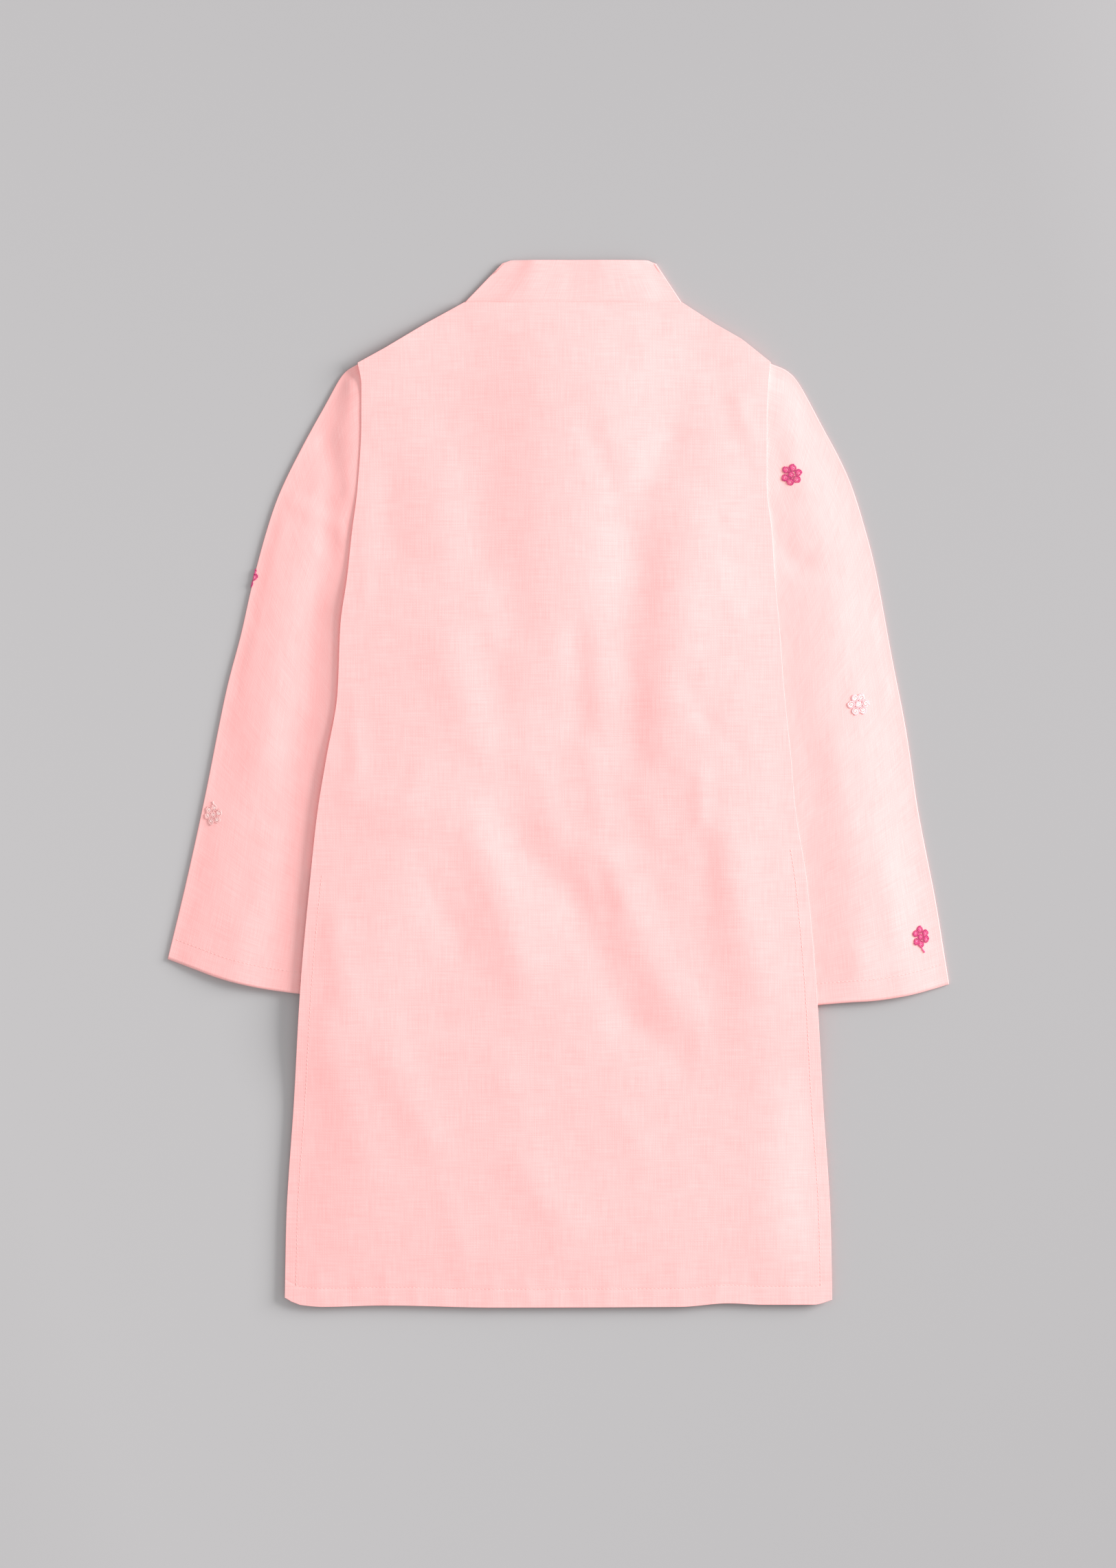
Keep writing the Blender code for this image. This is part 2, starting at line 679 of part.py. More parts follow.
def collar_stations():
    """Stations round the band as (base point, top point, height): front left, back, front right."""
    radius = COLLAR_HEIGHT / 2
    half_top = (COLLAR_TOP_RIGHT - COLLAR_TOP_LEFT) / 2
    top_middle = (COLLAR_TOP_RIGHT + COLLAR_TOP_LEFT) / 2
    base_y = NECK_Y + COLLAR_SEAM_GAP

    def front(angle):
        """Base and top of the hidden half at an angle of the neckline."""
        base = Vector(front_neck_point(angle))
        top = Vector((
            top_middle - half_top * math.cos(angle),
            COLLAR_TOP_Y - COLLAR_FRONT_TOP_DEPTH * math.sin(angle),
        ))
        return base, top

    def turn(base, top, inward, rising):
        """Half a turn round the fold at one end of the flat band."""
        found = []
        fold = (top - base).normalized()
        square_up = fold * COLLAR_WALL * abs(fold.x) / fold.y
        for step in range(COLLAR_TURN_STEPS + 1):
            angle = math.pi * step / COLLAR_TURN_STEPS
            shift = inward * radius * (1 - math.sin(angle))
            height = radius - radius * math.cos(angle)
            found.append((base + shift + square_up * math.sin(angle), top + shift, height))
        return found if rising else found[::-1]

    steps = [math.pi * i / (2 * COLLAR_FRONT_STATIONS) for i in range(COLLAR_FRONT_STATIONS + 1)]
    left_half = []
    for angle in reversed(steps[1:]):
        base, top = front(angle)
        left_half.append([base, top, 0.0])
    right_half = []
    for angle in steps[1:]:
        base, top = front(math.pi - angle)
        right_half.append([base, top, 0.0])
    for half, side in ((left_half[0], -1), (right_half[-1], 1)):
        half[0] = half[0] + Vector((side * COLLAR_OPENING / 2, 0))
        half[1] = Vector((half[0].x, half[1].y))
    left_base = Vector((NECK_LEFT, base_y))
    left_top = Vector((COLLAR_TOP_LEFT, COLLAR_TOP_Y))
    left_turn = turn(left_base, left_top, Vector((1, 0)), True)
    right_base = Vector((NECK_RIGHT, base_y))
    right_top = Vector((COLLAR_TOP_RIGHT, COLLAR_TOP_Y))
    right_turn = turn(right_base, right_top, Vector((-1, 0)), False)
    back = []
    for i in range(1, COLLAR_BACK_STATIONS):
        share = i / COLLAR_BACK_STATIONS
        base = left_turn[-1][0].lerp(right_turn[0][0], share)
        top = left_turn[-1][1].lerp(right_turn[0][1], share)
        back.append((base, top, COLLAR_HEIGHT))
    return left_half + left_turn + back + right_turn + right_half


def make_collar(collection):
    """Stand-up band laid flat: a ring, open at the centre front."""
    stations = collar_stations()
    band = bmesh.new()
    bmesh.ops.create_grid(band, x_segments=len(stations) - 1, y_segments=COLLAR_CELLS, size=1.0)
    band.verts.ensure_lookup_table()
    for index, vert in enumerate(band.verts):
        base, top, height = stations[index % len(stations)]
        point = base.lerp(top, index // len(stations) / COLLAR_CELLS)
        if height < TINY:
            height = placket_lift(point.x, point.y)
        vert.co = (point.x, point.y, height)
    part = add_object("collar_band", band, collection, PINK_COTTON)
    add_wall(part, COLLAR_WALL, -1.0)
    return part


def make_placket(collection):
    """Strip over the slit of the front, held up by the buttons."""
    top_y = NECK_Y - FRONT_NECK_DEPTH - SEAM_GAP
    base = BUTTON_THICKNESS + SEAM_GAP
    strip = bmesh.new()
    bmesh.ops.create_grid(strip, x_segments=1, y_segments=PLACKET_CELLS, size=0.5)
    bmesh.ops.scale(strip, vec=(PLACKET_WIDTH, PLACKET_LENGTH, 1.0), verts=strip.verts)
    bmesh.ops.translate(strip, vec=(NECK_MIDDLE, top_y - PLACKET_LENGTH / 2, base), verts=strip.verts)
    part = add_object("placket", strip, collection, PINK_COTTON)
    add_wall(part, PLACKET_WALL, 1.0)
    return part


def make_button(name, drop, collection):
    """A plain round button under the placket."""
    disc = bmesh.new()
    bmesh.ops.create_cone(
        disc, cap_ends=True, segments=BUTTON_SIDES, radius1=BUTTON_RADIUS, radius2=BUTTON_RADIUS,
        depth=BUTTON_THICKNESS,
    )
    top_y = NECK_Y - FRONT_NECK_DEPTH
    bmesh.ops.translate(disc, vec=(NECK_MIDDLE, top_y - drop, BUTTON_THICKNESS / 2), verts=disc.verts)
    part = add_object(name, disc, collection, SHELL_BUTTON)
    edge = part.modifiers.new("edge", "BEVEL")
    edge.width = BUTTON_EDGE
    edge.segments = 1
    edge.limit_method = "ANGLE"
    return part


def make_flower(name, centre, carrier, finish, collection):
    """A six-petalled flower worked on the cloth, a little raised."""
    disc = bmesh.new()
    bmesh.ops.create_grid(disc, x_segments=FLOWER_SIDES, y_segments=FLOWER_RINGS, size=1.0)
    disc.verts.ensure_lookup_table()
    for index, vert in enumerate(disc.verts):
        side = index % (FLOWER_SIDES + 1) % FLOWER_SIDES
        ring = index // (FLOWER_SIDES + 1)
        angle = 2 * math.pi * side / FLOWER_SIDES
        lobe = 1 - FLOWER_NOTCH * (1 + math.cos(FLOWER_PETALS * angle)) / 2
        radius = FLOWER_RADIUS * lobe * ring / FLOWER_RINGS
        x = centre[0] - radius * math.cos(angle)
        y = centre[1] + radius * math.sin(angle)
        vert.co = (x, y, ABOVE_CLOTH)
    bmesh.ops.remove_doubles(disc, verts=disc.verts, dist=TINY)
    part = add_object(name, disc, collection, finish)
    drop = part.modifiers.new("on_cloth", "SHRINKWRAP")
    drop.target = carrier
    drop.wrap_method = "PROJECT"
    drop.wrap_mode = "ABOVE_SURFACE"
    drop.use_project_z = True
    drop.use_negative_direction = True
    drop.use_positive_direction = False
    drop.offset = SEAM_GAP
    add_wall(part, FLOWER_THICKNESS, 1.0)
    return part


def make_fold_flower(collection):
    """What shows of a flower that the left sleeve's outer fold bends under."""
    radius = SLEEVE_HEIGHT / 2 + SEAM_GAP
    edge = [(point.y, point.x) for point in LEFT.outer]
    patch = bmesh.new()
    cells = FOLD_FLOWER_CELLS
    bmesh.ops.create_grid(patch, x_segments=cells, y_segments=cells, size=1.0)
    patch.verts.ensure_lookup_table()
    for index, vert in enumerate(patch.verts):
        around = index % (cells + 1) / cells
        along = index // (cells + 1) / cells
        y = FOLD_FLOWER_Y + (along - 0.5) * FOLD_FLOWER_LENGTH
        fold_x = read_table(edge, y)
        bow = FOLD_FLOWER_END + (1 - FOLD_FLOWER_END) * math.sin(math.pi * along)
        if around <= 0.5:
            angle = math.pi / 2 * around / 0.5
            x = fold_x + SLEEVE_HEIGHT / 2 - radius * math.cos(angle)
            z = SLEEVE_HEIGHT / 2 + radius * math.sin(angle)
        else:
            x = fold_x + SLEEVE_HEIGHT / 2 + FOLD_FLOWER_REACH * bow * (around - 0.5) / 0.5
            z = SLEEVE_HEIGHT / 2 + radius + SEAM_GAP
        vert.co = (x, y, z)
    part = add_object("flower_left_fold", patch, collection, MAGENTA_THREAD)
    add_wall(part, FLOWER_THICKNESS, 1.0)
    return part


def clear_scene():
    """Removes whatever the scene holds."""
    for item in list(bpy.data.objects):
        bpy.data.objects.remove(item, do_unlink=True)


def new_collection(name):
    """A collection of that name, linked to the scene."""
    collection = bpy.data.collections.new(name)
    bpy.context.scene.collection.children.link(collection)
    return collection


def main():
    """Builds the kurta's pieces."""
    clear_scene()
    pieces = new_collection(COLLECTION_NAME)
    cutters = new_collection(CUTTER_COLLECTION_NAME)
    make_front(pieces, cutters)
    make_back(pieces)
    left = make_sleeve("sleeve_left", LEFT, pieces)
    right = make_sleeve("sleeve_right", RIGHT, pieces)
    make_collar(pieces)
    make_placket(pieces)
    for number, drop in enumerate(BUTTON_DROPS, start=1):
        make_button(f"button_{number}", drop, pieces)
    finishes = (MAGENTA_THREAD, WHITE_THREAD, MAGENTA_THREAD)
    for number, (centre, finish) in enumerate(zip(RIGHT_FLOWERS, finishes), start=1):
        make_flower(f"flower_right_{number}", centre, right, finish, pieces)
    make_flower("flower_left", LEFT_FLOWER, left, PALE_THREAD, pieces)
    make_fold_flower(pieces)


main()
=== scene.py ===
"""Dresses a child's cotton kurta that lies flat on its front, so that its back shows.

Metres, +Z up. +Y points from the hem to the collar and +X to the wearer's right sleeve. The cloth rests on
z = 0. Each piece of cloth is a thin shell on the form of its solid, with the folds worked in. Sewing,
thread flowers and buttons are pieces of their own.
"""

import logging
import math
from collections.abc import Callable
from dataclasses import dataclass, field
from enum import Enum
from functools import cached_property

import bmesh
import bpy
import numpy as np
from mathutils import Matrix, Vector


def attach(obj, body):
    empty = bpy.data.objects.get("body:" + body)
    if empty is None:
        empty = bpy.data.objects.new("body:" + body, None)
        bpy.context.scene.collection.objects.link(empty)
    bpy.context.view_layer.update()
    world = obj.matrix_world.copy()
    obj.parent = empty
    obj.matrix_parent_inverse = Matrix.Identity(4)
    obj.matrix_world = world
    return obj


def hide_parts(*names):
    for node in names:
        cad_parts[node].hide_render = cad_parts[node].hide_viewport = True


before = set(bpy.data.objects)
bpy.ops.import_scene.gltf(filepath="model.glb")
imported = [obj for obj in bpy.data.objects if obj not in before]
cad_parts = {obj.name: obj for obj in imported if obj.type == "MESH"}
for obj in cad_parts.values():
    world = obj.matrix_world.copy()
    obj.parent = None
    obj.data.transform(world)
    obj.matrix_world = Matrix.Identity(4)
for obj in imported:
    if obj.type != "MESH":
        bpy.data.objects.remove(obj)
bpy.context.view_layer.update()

Array = np.ndarray
Lines = tuple[Array, Array]
Table = tuple[tuple[float, ...], ...]
Mesh = bpy.types.Mesh
Material = bpy.types.Material
Node = bpy.types.Node
Piece = bpy.types.Object
Socket = bpy.types.NodeSocket
Tree = bpy.types.NodeTree

LOG = logging.getLogger("kurta")
MM = 0.001
LIGHT_DIRECTION = (0.95, 0.31)
PLACKET_WIDTH = 0.026


class Side(Enum):
    """A side of the kurta as it lies, by the sign of X."""

    LEFT = -1
    RIGHT = 1


class Lie(Enum):
    """How a sheet is held."""

    LAID = "laid"
    FOLDED = "folded"


# Plain working of curves and heights


def smoothstep(value: Array) -> Array:
    """0 below 0, 1 above 1, and a soft slope between."""
    share = np.clip(value, 0.0, 1.0)
    return share * share * (3 - 2 * share)


def smooth_line(points: Table, count: int, fineness: int = 8) -> Array:
    """Evenly spaced points on a smooth curve through the given ones.

    Args:
        points: The points that the curve passes through, in order.
        count: How many stretches the result has.
        fineness: Steps worked out between two given points.

    Returns:
        count + 1 points, one a row.
    """
    line = np.array(points, float)
    ends = np.vstack([2 * line[:1] - line[1:2], line, 2 * line[-1:] - line[-2:-1]])
    fine = []
    for first, start, end, last in zip(ends, ends[1:], ends[2:], ends[3:]):
        t = (np.arange(fineness) / fineness)[:, None]
        bend = (2 * first - 5 * start + 4 * end - last) * t**2
        twist = (3 * start - first - 3 * end + last) * t**3
        fine.append((2 * start + (end - first) * t + bend + twist) / 2)
    path = np.vstack([*fine, line[-1:]])
    along = np.concatenate([[0.0], np.cumsum(np.linalg.norm(np.diff(path, axis=0), axis=1))])
    marks = np.linspace(0.0, along[-1], count + 1)
    return np.stack([np.interp(marks, along, path[:, k]) for k in range(2)], axis=1)


def soft_table(rows: Table, column: int, fineness: int = 12) -> Lines:
    """A table's column against its first one, eased through the rows with no overshoot.

    Args:
        rows: The table, whose first column rises or falls all the way.
        column: The column that is read.
        fineness: Steps between two rows.

    Returns:
        Rising keys and their values, for np.interp.
    """
    ordered = np.array(sorted(rows), float)
    keys, values = ordered[:, 0], ordered[:, column]
    slopes = np.diff(values) / np.diff(keys)
    tangents = np.concatenate([slopes[:1], np.zeros(len(keys) - 2), slopes[-1:]])
    for i in range(1, len(keys) - 1):
        before, after = slopes[i - 1], slopes[i]
        tangents[i] = 2 * before * after / (before + after) if before * after > 0 else 0.0
    fine_keys, fine_values = [keys[-1:]], [values[-1:]]
    for i in range(len(keys) - 1):
        t = np.arange(fineness) / fineness
        span = keys[i + 1] - keys[i]
        fine_keys.append(keys[i] + t * span)
        eased = (2 * t**3 - 3 * t**2 + 1) * values[i] + (3 * t**2 - 2 * t**3) * values[i + 1]
        eased += span * ((t**3 - 2 * t**2 + t) * tangents[i] + (t**3 - t**2) * tangents[i + 1])
        fine_values.append(eased)
    keys, values = np.concatenate(fine_keys), np.concatenate(fine_values)
    order = np.argsort(keys)
    return keys[order], values[order]


def distance_to_segment(x: Array, y: Array, start: Array, end: Array) -> Array:
    """How far points are from the straight stretch, in the plane."""
    along = np.asarray(end, float) - np.asarray(start, float)
    reach_x, reach_y = x - start[0], y - start[1]
    share = np.clip((reach_x * along[0] + reach_y * along[1]) / (along @ along), 0.0, 1.0)
    return np.hypot(reach_x - along[0] * share, reach_y - along[1] * share)


def distance_to_line(x: Array, y: Array, points: Array) -> Array:
    """How far points are from the nearest stretch of the polyline."""
    nearest = np.full(np.shape(x), np.inf)
    for start, end in zip(points, points[1:]):
        nearest = np.minimum(nearest, distance_to_segment(x, y, start, end))
    return nearest


def folds_at(x: Array, y: Array, folds: Table) -> Array:
    """Sum of soft ridges and troughs.

    Args:
        x, y: Places in the plane.
        folds: Rows of start_x, start_y, end_x, end_y, half_width and rise, in millimetres.

    Returns:
        The height that the folds add at each place, in metres.
    """
    total = np.zeros(np.shape(x))
    for row in folds:
        start_x, start_y, end_x, end_y, half_width, rise = (value * MM for value in row)
        distance = distance_to_segment(x, y, (start_x, start_y), (end_x, end_y))
        total += rise * np.exp(-((distance / half_width) ** 2))
    return total


class SoftHeights:
    """A height formula softened over the plane, as cloth softens the shape of what lies under it."""

    def __init__(
        self, formula: Callable[[Array, Array], Array], spacing: float = 0.004, passes: int = 16,
        reach: tuple[float, float] = (0.30, 0.42),
    ) -> None:
        """Works the formula out on a raster and softens it.

        Args:
            formula: Height by x and y.
            spacing: Distance between the raster's points.
            passes: How often each point takes on its neighbours' mean.
            reach: How far the raster goes from the origin along x and y.
        """
        self.x = np.arange(-reach[0], reach[0] + spacing / 2, spacing)
        self.y = np.arange(-reach[1], reach[1] + spacing / 2, spacing)
        self.spacing = spacing
        z = formula(*np.meshgrid(self.x, self.y))
        for _ in range(passes):
            z = np.pad(z, 1, mode="edge")
            z = (z[:-2] + 2 * z[1:-1] + z[2:]) / 4
            z = (z[:, :-2] + 2 * z[:, 1:-1] + z[:, 2:]) / 4
        self.z = z

    def at(self, x: Array, y: Array) -> Array:
        """Softened height at places in the plane."""
        # A little less than the last point, so that each place has a next point
        last_column, last_row = len(self.x) - 1.001, len(self.y) - 1.001
        column = np.clip((x - self.x[0]) / self.spacing, 0, last_column)
        row = np.clip((y - self.y[0]) / self.spacing, 0, last_row)
        i, j = column.astype(int), row.astype(int)
        u, v = column - i, row - j
        low = self.z[j, i] * (1 - u) + self.z[j, i + 1] * u
        high = self.z[j + 1, i] * (1 - u) + self.z[j + 1, i + 1] * u
        return low * (1 - v) + high * v


# Outlines and folds, all in the part's own frame

# The fold or seam on each side of the body, from the hem up: y, left_x, right_x
BODY_SIDES: Table = (
    (-0.3600, -0.1915, 0.1910),
    (-0.3075, -0.1905, 0.1900),
    (-0.2210, -0.1850, 0.1845),
    (-0.1375, -0.1800, 0.1795),
    (-0.0670, -0.1735, 0.1730),
    (-0.0205, -0.1685, 0.1655),
    (0.0190, -0.1620, 0.1620),
    (0.0625, -0.1545, 0.1575),
    (0.1100, -0.1525, 0.1540),
    (0.1425, -0.1480, 0.1510),
    (0.1755, -0.1445, 0.1490),
    (0.2075, -0.1405, 0.1455),
    (0.2520, -0.1380, 0.1455),
    (0.2785, -0.1380, 0.1465),
    (0.2935, -0.1405, 0.1480),
)
# The hem's edge from left to right: x, y
HEM_EDGE: Table = (
    (-0.1915, -0.3595),
    (-0.1815, -0.3645),
    (-0.1645, -0.3660),
    (-0.1215, -0.3650),
    (-0.0445, -0.3665),
    (0.0850, -0.3660),
    (0.1185, -0.3635),
    (0.1425, -0.3645),
    (0.1785, -0.3645),
    (0.1910, -0.3610),
)
# Shoulder seams and the neck seam between them: x, y
TOP_EDGE: Table = (
    (-0.1405, 0.2935),
    (-0.1215, 0.3040),
    (-0.0925, 0.3215),
    (-0.0660, 0.3360),
    (0.0860, 0.3360),
    (0.1090, 0.3210),
    (0.1280, 0.3100),
    (0.1480, 0.2940),
)

# The body's largest folds, close to those of its solid, in mm:
# start_x, start_y, end_x, end_y, half_width, rise
BACK_FOLDS: Table = (
    (88.0, 182.0, 86.0, 118.0, 24.0, 1.5),
    (85.0, 100.0, 83.0, 60.0, 18.0, 0.6),
    (43.0, 186.0, 48.0, 130.0, 21.0, -1.2),
    (-62.0, -26.0, -27.0, -126.0, 18.0, 1.7),
    (-30.0, -40.0, 12.0, -85.0, 16.0, -1.2),
    (12.0, -85.0, 50.0, -166.0, 17.0, -1.0),
    (30.0, -58.0, 84.0, -156.0, 17.0, 1.3),
    (96.0, -70.0, 112.0, -145.0, 13.0, -0.4),
    (120.0, -38.0, 126.0, -88.0, 14.0, 0.8),
    (129.0, -104.0, 141.0, -142.0, 14.0, 0.5),
    (-78.0, 91.0, -50.0, 19.0, 18.0, 1.1),
    (-30.0, 85.0, -22.0, 20.0, 15.0, 0.8),
    (-80.0, 212.0, -76.0, 160.0, 18.0, 0.9),
    (-168.0, -163.0, -134.0, -262.0, 15.0, 0.6),
    (-118.0, -195.0, -92.0, -246.0, 14.0, 0.9),
    (-160.0, -96.0, -149.0, -150.0, 13.0, 1.0),
    (149.0, -222.0, 151.0, -312.0, 22.0, 0.9),
    (-25.0, -266.0, 4.0, -310.0, 16.0, 0.9),
    (-62.0, 304.0, 38.0, 306.0, 15.0, -1.1),
    (-148.0, -8.0, -86.0, -26.0, 16.0, 0.9),
)
# The finer creases between them, in the same columns
BACK_CREASES: Table = (
    (21.0, 243.0, 40.0, 203.0, 10.0, -0.6),
    (79.0, 240.0, 58.0, 203.0, 10.0, -0.6),
    (52.0, 168.0, 56.0, 138.0, 14.0, -0.7),
    (12.0, 103.0, 14.0, 40.0, 11.0, -0.9),
    (48.0, 84.0, 52.0, 20.0, 13.0, -0.8),
    (70.0, 92.0, 72.0, 30.0, 13.0, 0.4),
    (90.0, 67.0, 104.0, 43.0, 8.0, -0.4),
    (104.0, 43.0, 123.0, 24.0, 7.0, -0.25),
    (128.0, 238.0, 136.0, 214.0, 10.0, -0.35),
    (28.0, -62.0, 36.0, -88.0, 8.0, -0.8),
    (99.0, 5.0, 99.0, -25.0, 6.0, 0.5),
    (97.0, -160.0, 97.0, -196.0, 7.0, 0.3),
    (102.0, -46.0, 104.0, -76.0, 9.0, -0.5),
    (112.0, 285.0, 118.0, 250.0, 12.0, -0.4),
    (128.0, 262.0, 140.0, 240.0, 8.0, 0.6),
    (119.0, 185.0, 143.0, 186.0, 4.0, 0.4),
    (-138.0, 176.0, -137.0, 130.0, 6.0, 0.6),
    (-147.0, 62.0, -141.0, 10.0, 7.0, 0.6),
    (50.0, -168.0, 82.0, -192.0, 14.0, -0.6),
    (-100.0, -166.0, -42.0, -170.0, 12.0, -0.5),
    (-122.0, 214.0, -117.0, 166.0, 12.0, -0.6),
    (-92.0, -70.0, -70.0, -112.0, 10.0, -0.6),
    (58.0, -2.0, 70.0, -36.0, 9.0, 0.4),
    (-12.0, 0.0, -4.0, -36.0, 10.0, 0.4),
    (20.0, 28.0, 30.0, -22.0, 9.0, 0.4),
    (108.0, 150.0, 122.0, 120.0, 9.0, 0.4),
    (-54.0, 136.0, -46.0, 104.0, 9.0, 0.3),
    (-96.0, 12.0, -104.0, -10.0, 7.0, 0.3),
    (-40.0, -196.0, -28.0, -232.0, 12.0, 0.4),
    (40.0, -226.0, 60.0, -262.0, 12.0, 0.4),
    (-78.0, -292.0, -66.0, -330.0, 10.0, 0.4),
)
# Small puckers that the hem's stitches draw up, in the same columns
HEM_PUCKERS: Table = (
    (-168.0, -346.0, -167.0, -360.0, 5.0, 0.3),
    (-146.0, -349.0, -147.0, -361.0, 4.0, -0.25),
    (-121.0, -345.0, -119.0, -362.0, 5.0, 0.3),
    (-99.0, -350.0, -100.0, -361.0, 4.0, 0.25),
    (-74.0, -348.0, -72.0, -362.0, 5.0, -0.25),
    (-45.0, -347.0, -46.0, -363.0, 5.0, 0.3),
    (-22.0, -351.0, -21.0, -361.0, 4.0, 0.25),
    (6.0, -346.0, 8.0, -362.0, 5.0, -0.25),
    (35.0, -349.0, 34.0, -362.0, 5.0, 0.3),
    (57.0, -351.0, 58.0, -361.0, 4.0, -0.2),
    (83.0, -346.0, 84.0, -361.0, 5.0, 0.3),
    (112.0, -348.0, 110.0, -360.0, 4.0, 0.25),
    (134.0, -345.0, 135.0, -361.0, 5.0, -0.25),
    (161.0, -347.0, 162.0, -360.0, 5.0, 0.25),
)
# Folds of the sleeves' upper walls, close to those of their solids, in the same columns
SLEEVE_FOLDS: Table = (
    (-199.0, 175.0, -204.0, 20.0, 17.0, 0.9),
    (-222.0, -105.0, -224.0, -138.0, 13.0, 0.9),
    (188.0, 110.0, 186.0, 60.0, 14.0, 0.5),
    (194.0, 30.0, 201.0, -25.0, 14.0, 0.9),
    (206.0, -50.0, 212.0, -122.0, 20.0, 1.3),
)
# The sleeves' finer creases and the hollows beside the body, in the same columns
SLEEVE_CREASES: Table = (
    (-151.0, 285.0, -139.0, 270.0, 4.0, 0.4),
    (-162.0, 238.0, -156.0, 205.0, 9.0, -1.0),
    (-163.0, 196.0, -161.0, 168.0, 9.0, -0.9),
    (-162.0, 150.0, -171.0, 118.0, 10.0, -0.5),
    (-190.0, 199.0, -152.0, 178.0, 7.0, 0.5),
    (-187.0, 42.0, -192.0, 14.0, 10.0, -0.5),
    (-214.0, 98.0, -222.0, 40.0, 10.0, 0.4),
    (-236.0, -20.0, -242.0, -84.0, 12.0, 0.4),
    (-205.0, -40.0, -214.0, -92.0, 12.0, 0.5),
    (-252.0, -98.0, -258.0, -124.0, 10.0, 0.4),
    (150.0, 162.0, 168.0, 153.0, 9.0, -0.5),
    (168.0, 153.0, 188.0, 149.0, 9.0, -0.35),
    (150.0, 236.0, 158.0, 205.0, 9.0, -0.4),
    (176.0, 20.0, 181.0, -18.0, 12.0, -0.2),
    (190.0, -58.0, 194.0, -104.0, 12.0, -0.2),
    (208.0, -118.0, 209.0, -140.0, 8.0, 0.4),
    (228.0, -60.0, 234.0, -104.0, 10.0, 0.4),
    (222.0, 108.0, 230.0, 66.0, 10.0, 0.3),
)


@dataclass(frozen=True)
class SleeveForm:
    """Plan and heights of one sleeve, a flattened tube that the body partly covers."""

    side: Side
    outer_points: Table
    inner_points: Table
    armhole_points: Table
    cuff_points: Table
    height: float = 0.0036
    fold_height: float = 0.0015
    # Depth of the pressed fold's turn as a share of half its height
    fold_press: float = 0.4
    # Width of the slope beside the outer fold, and the share by which it narrows towards the shoulder
    fold_rise: float = 0.036
    fold_haste: float = 0.4
    haste_low: float = 0.225
    haste_fade: float = 0.060
    # Rise beside the body at the shoulder
    cap_rise: float = 0.0004
    cap_width: float = 0.045
    cap_low: float = 0.165
    cap_fade: float = 0.050
    # Rise beside the body along the whole open length, or a dip below 0
    lean: float = -0.0005
    lean_width: float = 0.022
    # Further rise beside the body, from low_lean_start up to low_lean_end
    low_lean: float = 0.0
    low_lean_start: float = 0.0
    low_lean_end: float = 0.140
    low_lean_fade: float = 0.045
    # Where these rises fade out: under the body, and beside the outer fold
    hidden_fade: float = 0.003
    rim_fade: float = 0.020
    # How far from the sleeve the body lies level on it, and how far it takes to come down
    lift_margin: float = 0.018
    lift_ramp: float = 0.060
    fold_clearance: float = 0.012
    coarse_rows: int = 22
    coarse_cells: int = 6

    def hidden_edge(self) -> Array:
        """The armhole, the inner fold and the cuff in one line."""
        armhole = smooth_line(self.armhole_points, self.coarse_cells)
        inner = smooth_line(self.inner_points, self.coarse_rows)
        cuff = smooth_line(self.cuff_points, self.coarse_cells)
        return np.vstack([armhole[:-1], inner, cuff[-2::-1]])

    def covers(self, x: Array, y: Array) -> Array:
        """True where the sleeve lies below a point of the body."""
        armhole = smooth_line(self.armhole_points, self.coarse_cells)
        inner = smooth_line(self.inner_points, self.coarse_rows)
        border = np.vstack([armhole, inner[1:]])
        border = border[np.argsort(border[:, 1])]
        sign = self.side.value
        inside = sign * x > sign * np.interp(y, border[:, 1], border[:, 0])
        return inside & (y > self.cuff_points[-1][1]) & (sign * x > 0)

    def nearness(self, x: Array, y: Array) -> Array:
        """1 over the sleeve and close to it, falling softly to 0."""
        distance = distance_to_line(x, y, self.hidden_edge())
        fall = 1 - smoothstep((distance - self.lift_margin) / self.lift_ramp)
        return np.where(self.covers(x, y), 1.0, fall)

    def top(self, x: Array, y: Array) -> Array:
        """Height of the upper wall's outer face."""
        keys, values = soft_table(BODY_SIDES, 1 if self.side is Side.LEFT else 2)
        out = self.side.value * (x - np.interp(y, keys, values))
        rim = distance_to_line(x, y, smooth_line(self.outer_points, self.coarse_rows))
        soft = smoothstep(out / self.fold_clearance) * smoothstep(rim / self.fold_clearance)
        width = self.fold_rise * (1 - self.fold_haste * smoothstep((y - self.haste_low) / self.haste_fade))
        rising = self.fold_height + (self.height - self.fold_height) * smoothstep(rim / width)
        shown = smoothstep(out / self.hidden_fade + 1) * smoothstep(rim / self.rim_fade)
        cap = self.cap_rise * (1 - smoothstep(out / self.cap_width))
        cap = cap * smoothstep((y - self.cap_low) / self.cap_fade)
        below = smoothstep((y - self.low_lean_start) / self.low_lean_fade)
        below = below * smoothstep((self.low_lean_end - y) / self.low_lean_fade)
        beside = cap + (self.lean + self.low_lean * below) * (1 - smoothstep(out / self.lean_width))
        return rising + beside * shown + folds_at(x, y, SLEEVE_FOLDS + SLEEVE_CREASES) * soft

    def fold_x(self, y: Array) -> Array:
        """X of the outer fold at a height of the picture."""
        line = smooth_line(self.outer_points, 4 * self.coarse_rows)
        return np.interp(y, line[::-1, 1], line[::-1, 0])


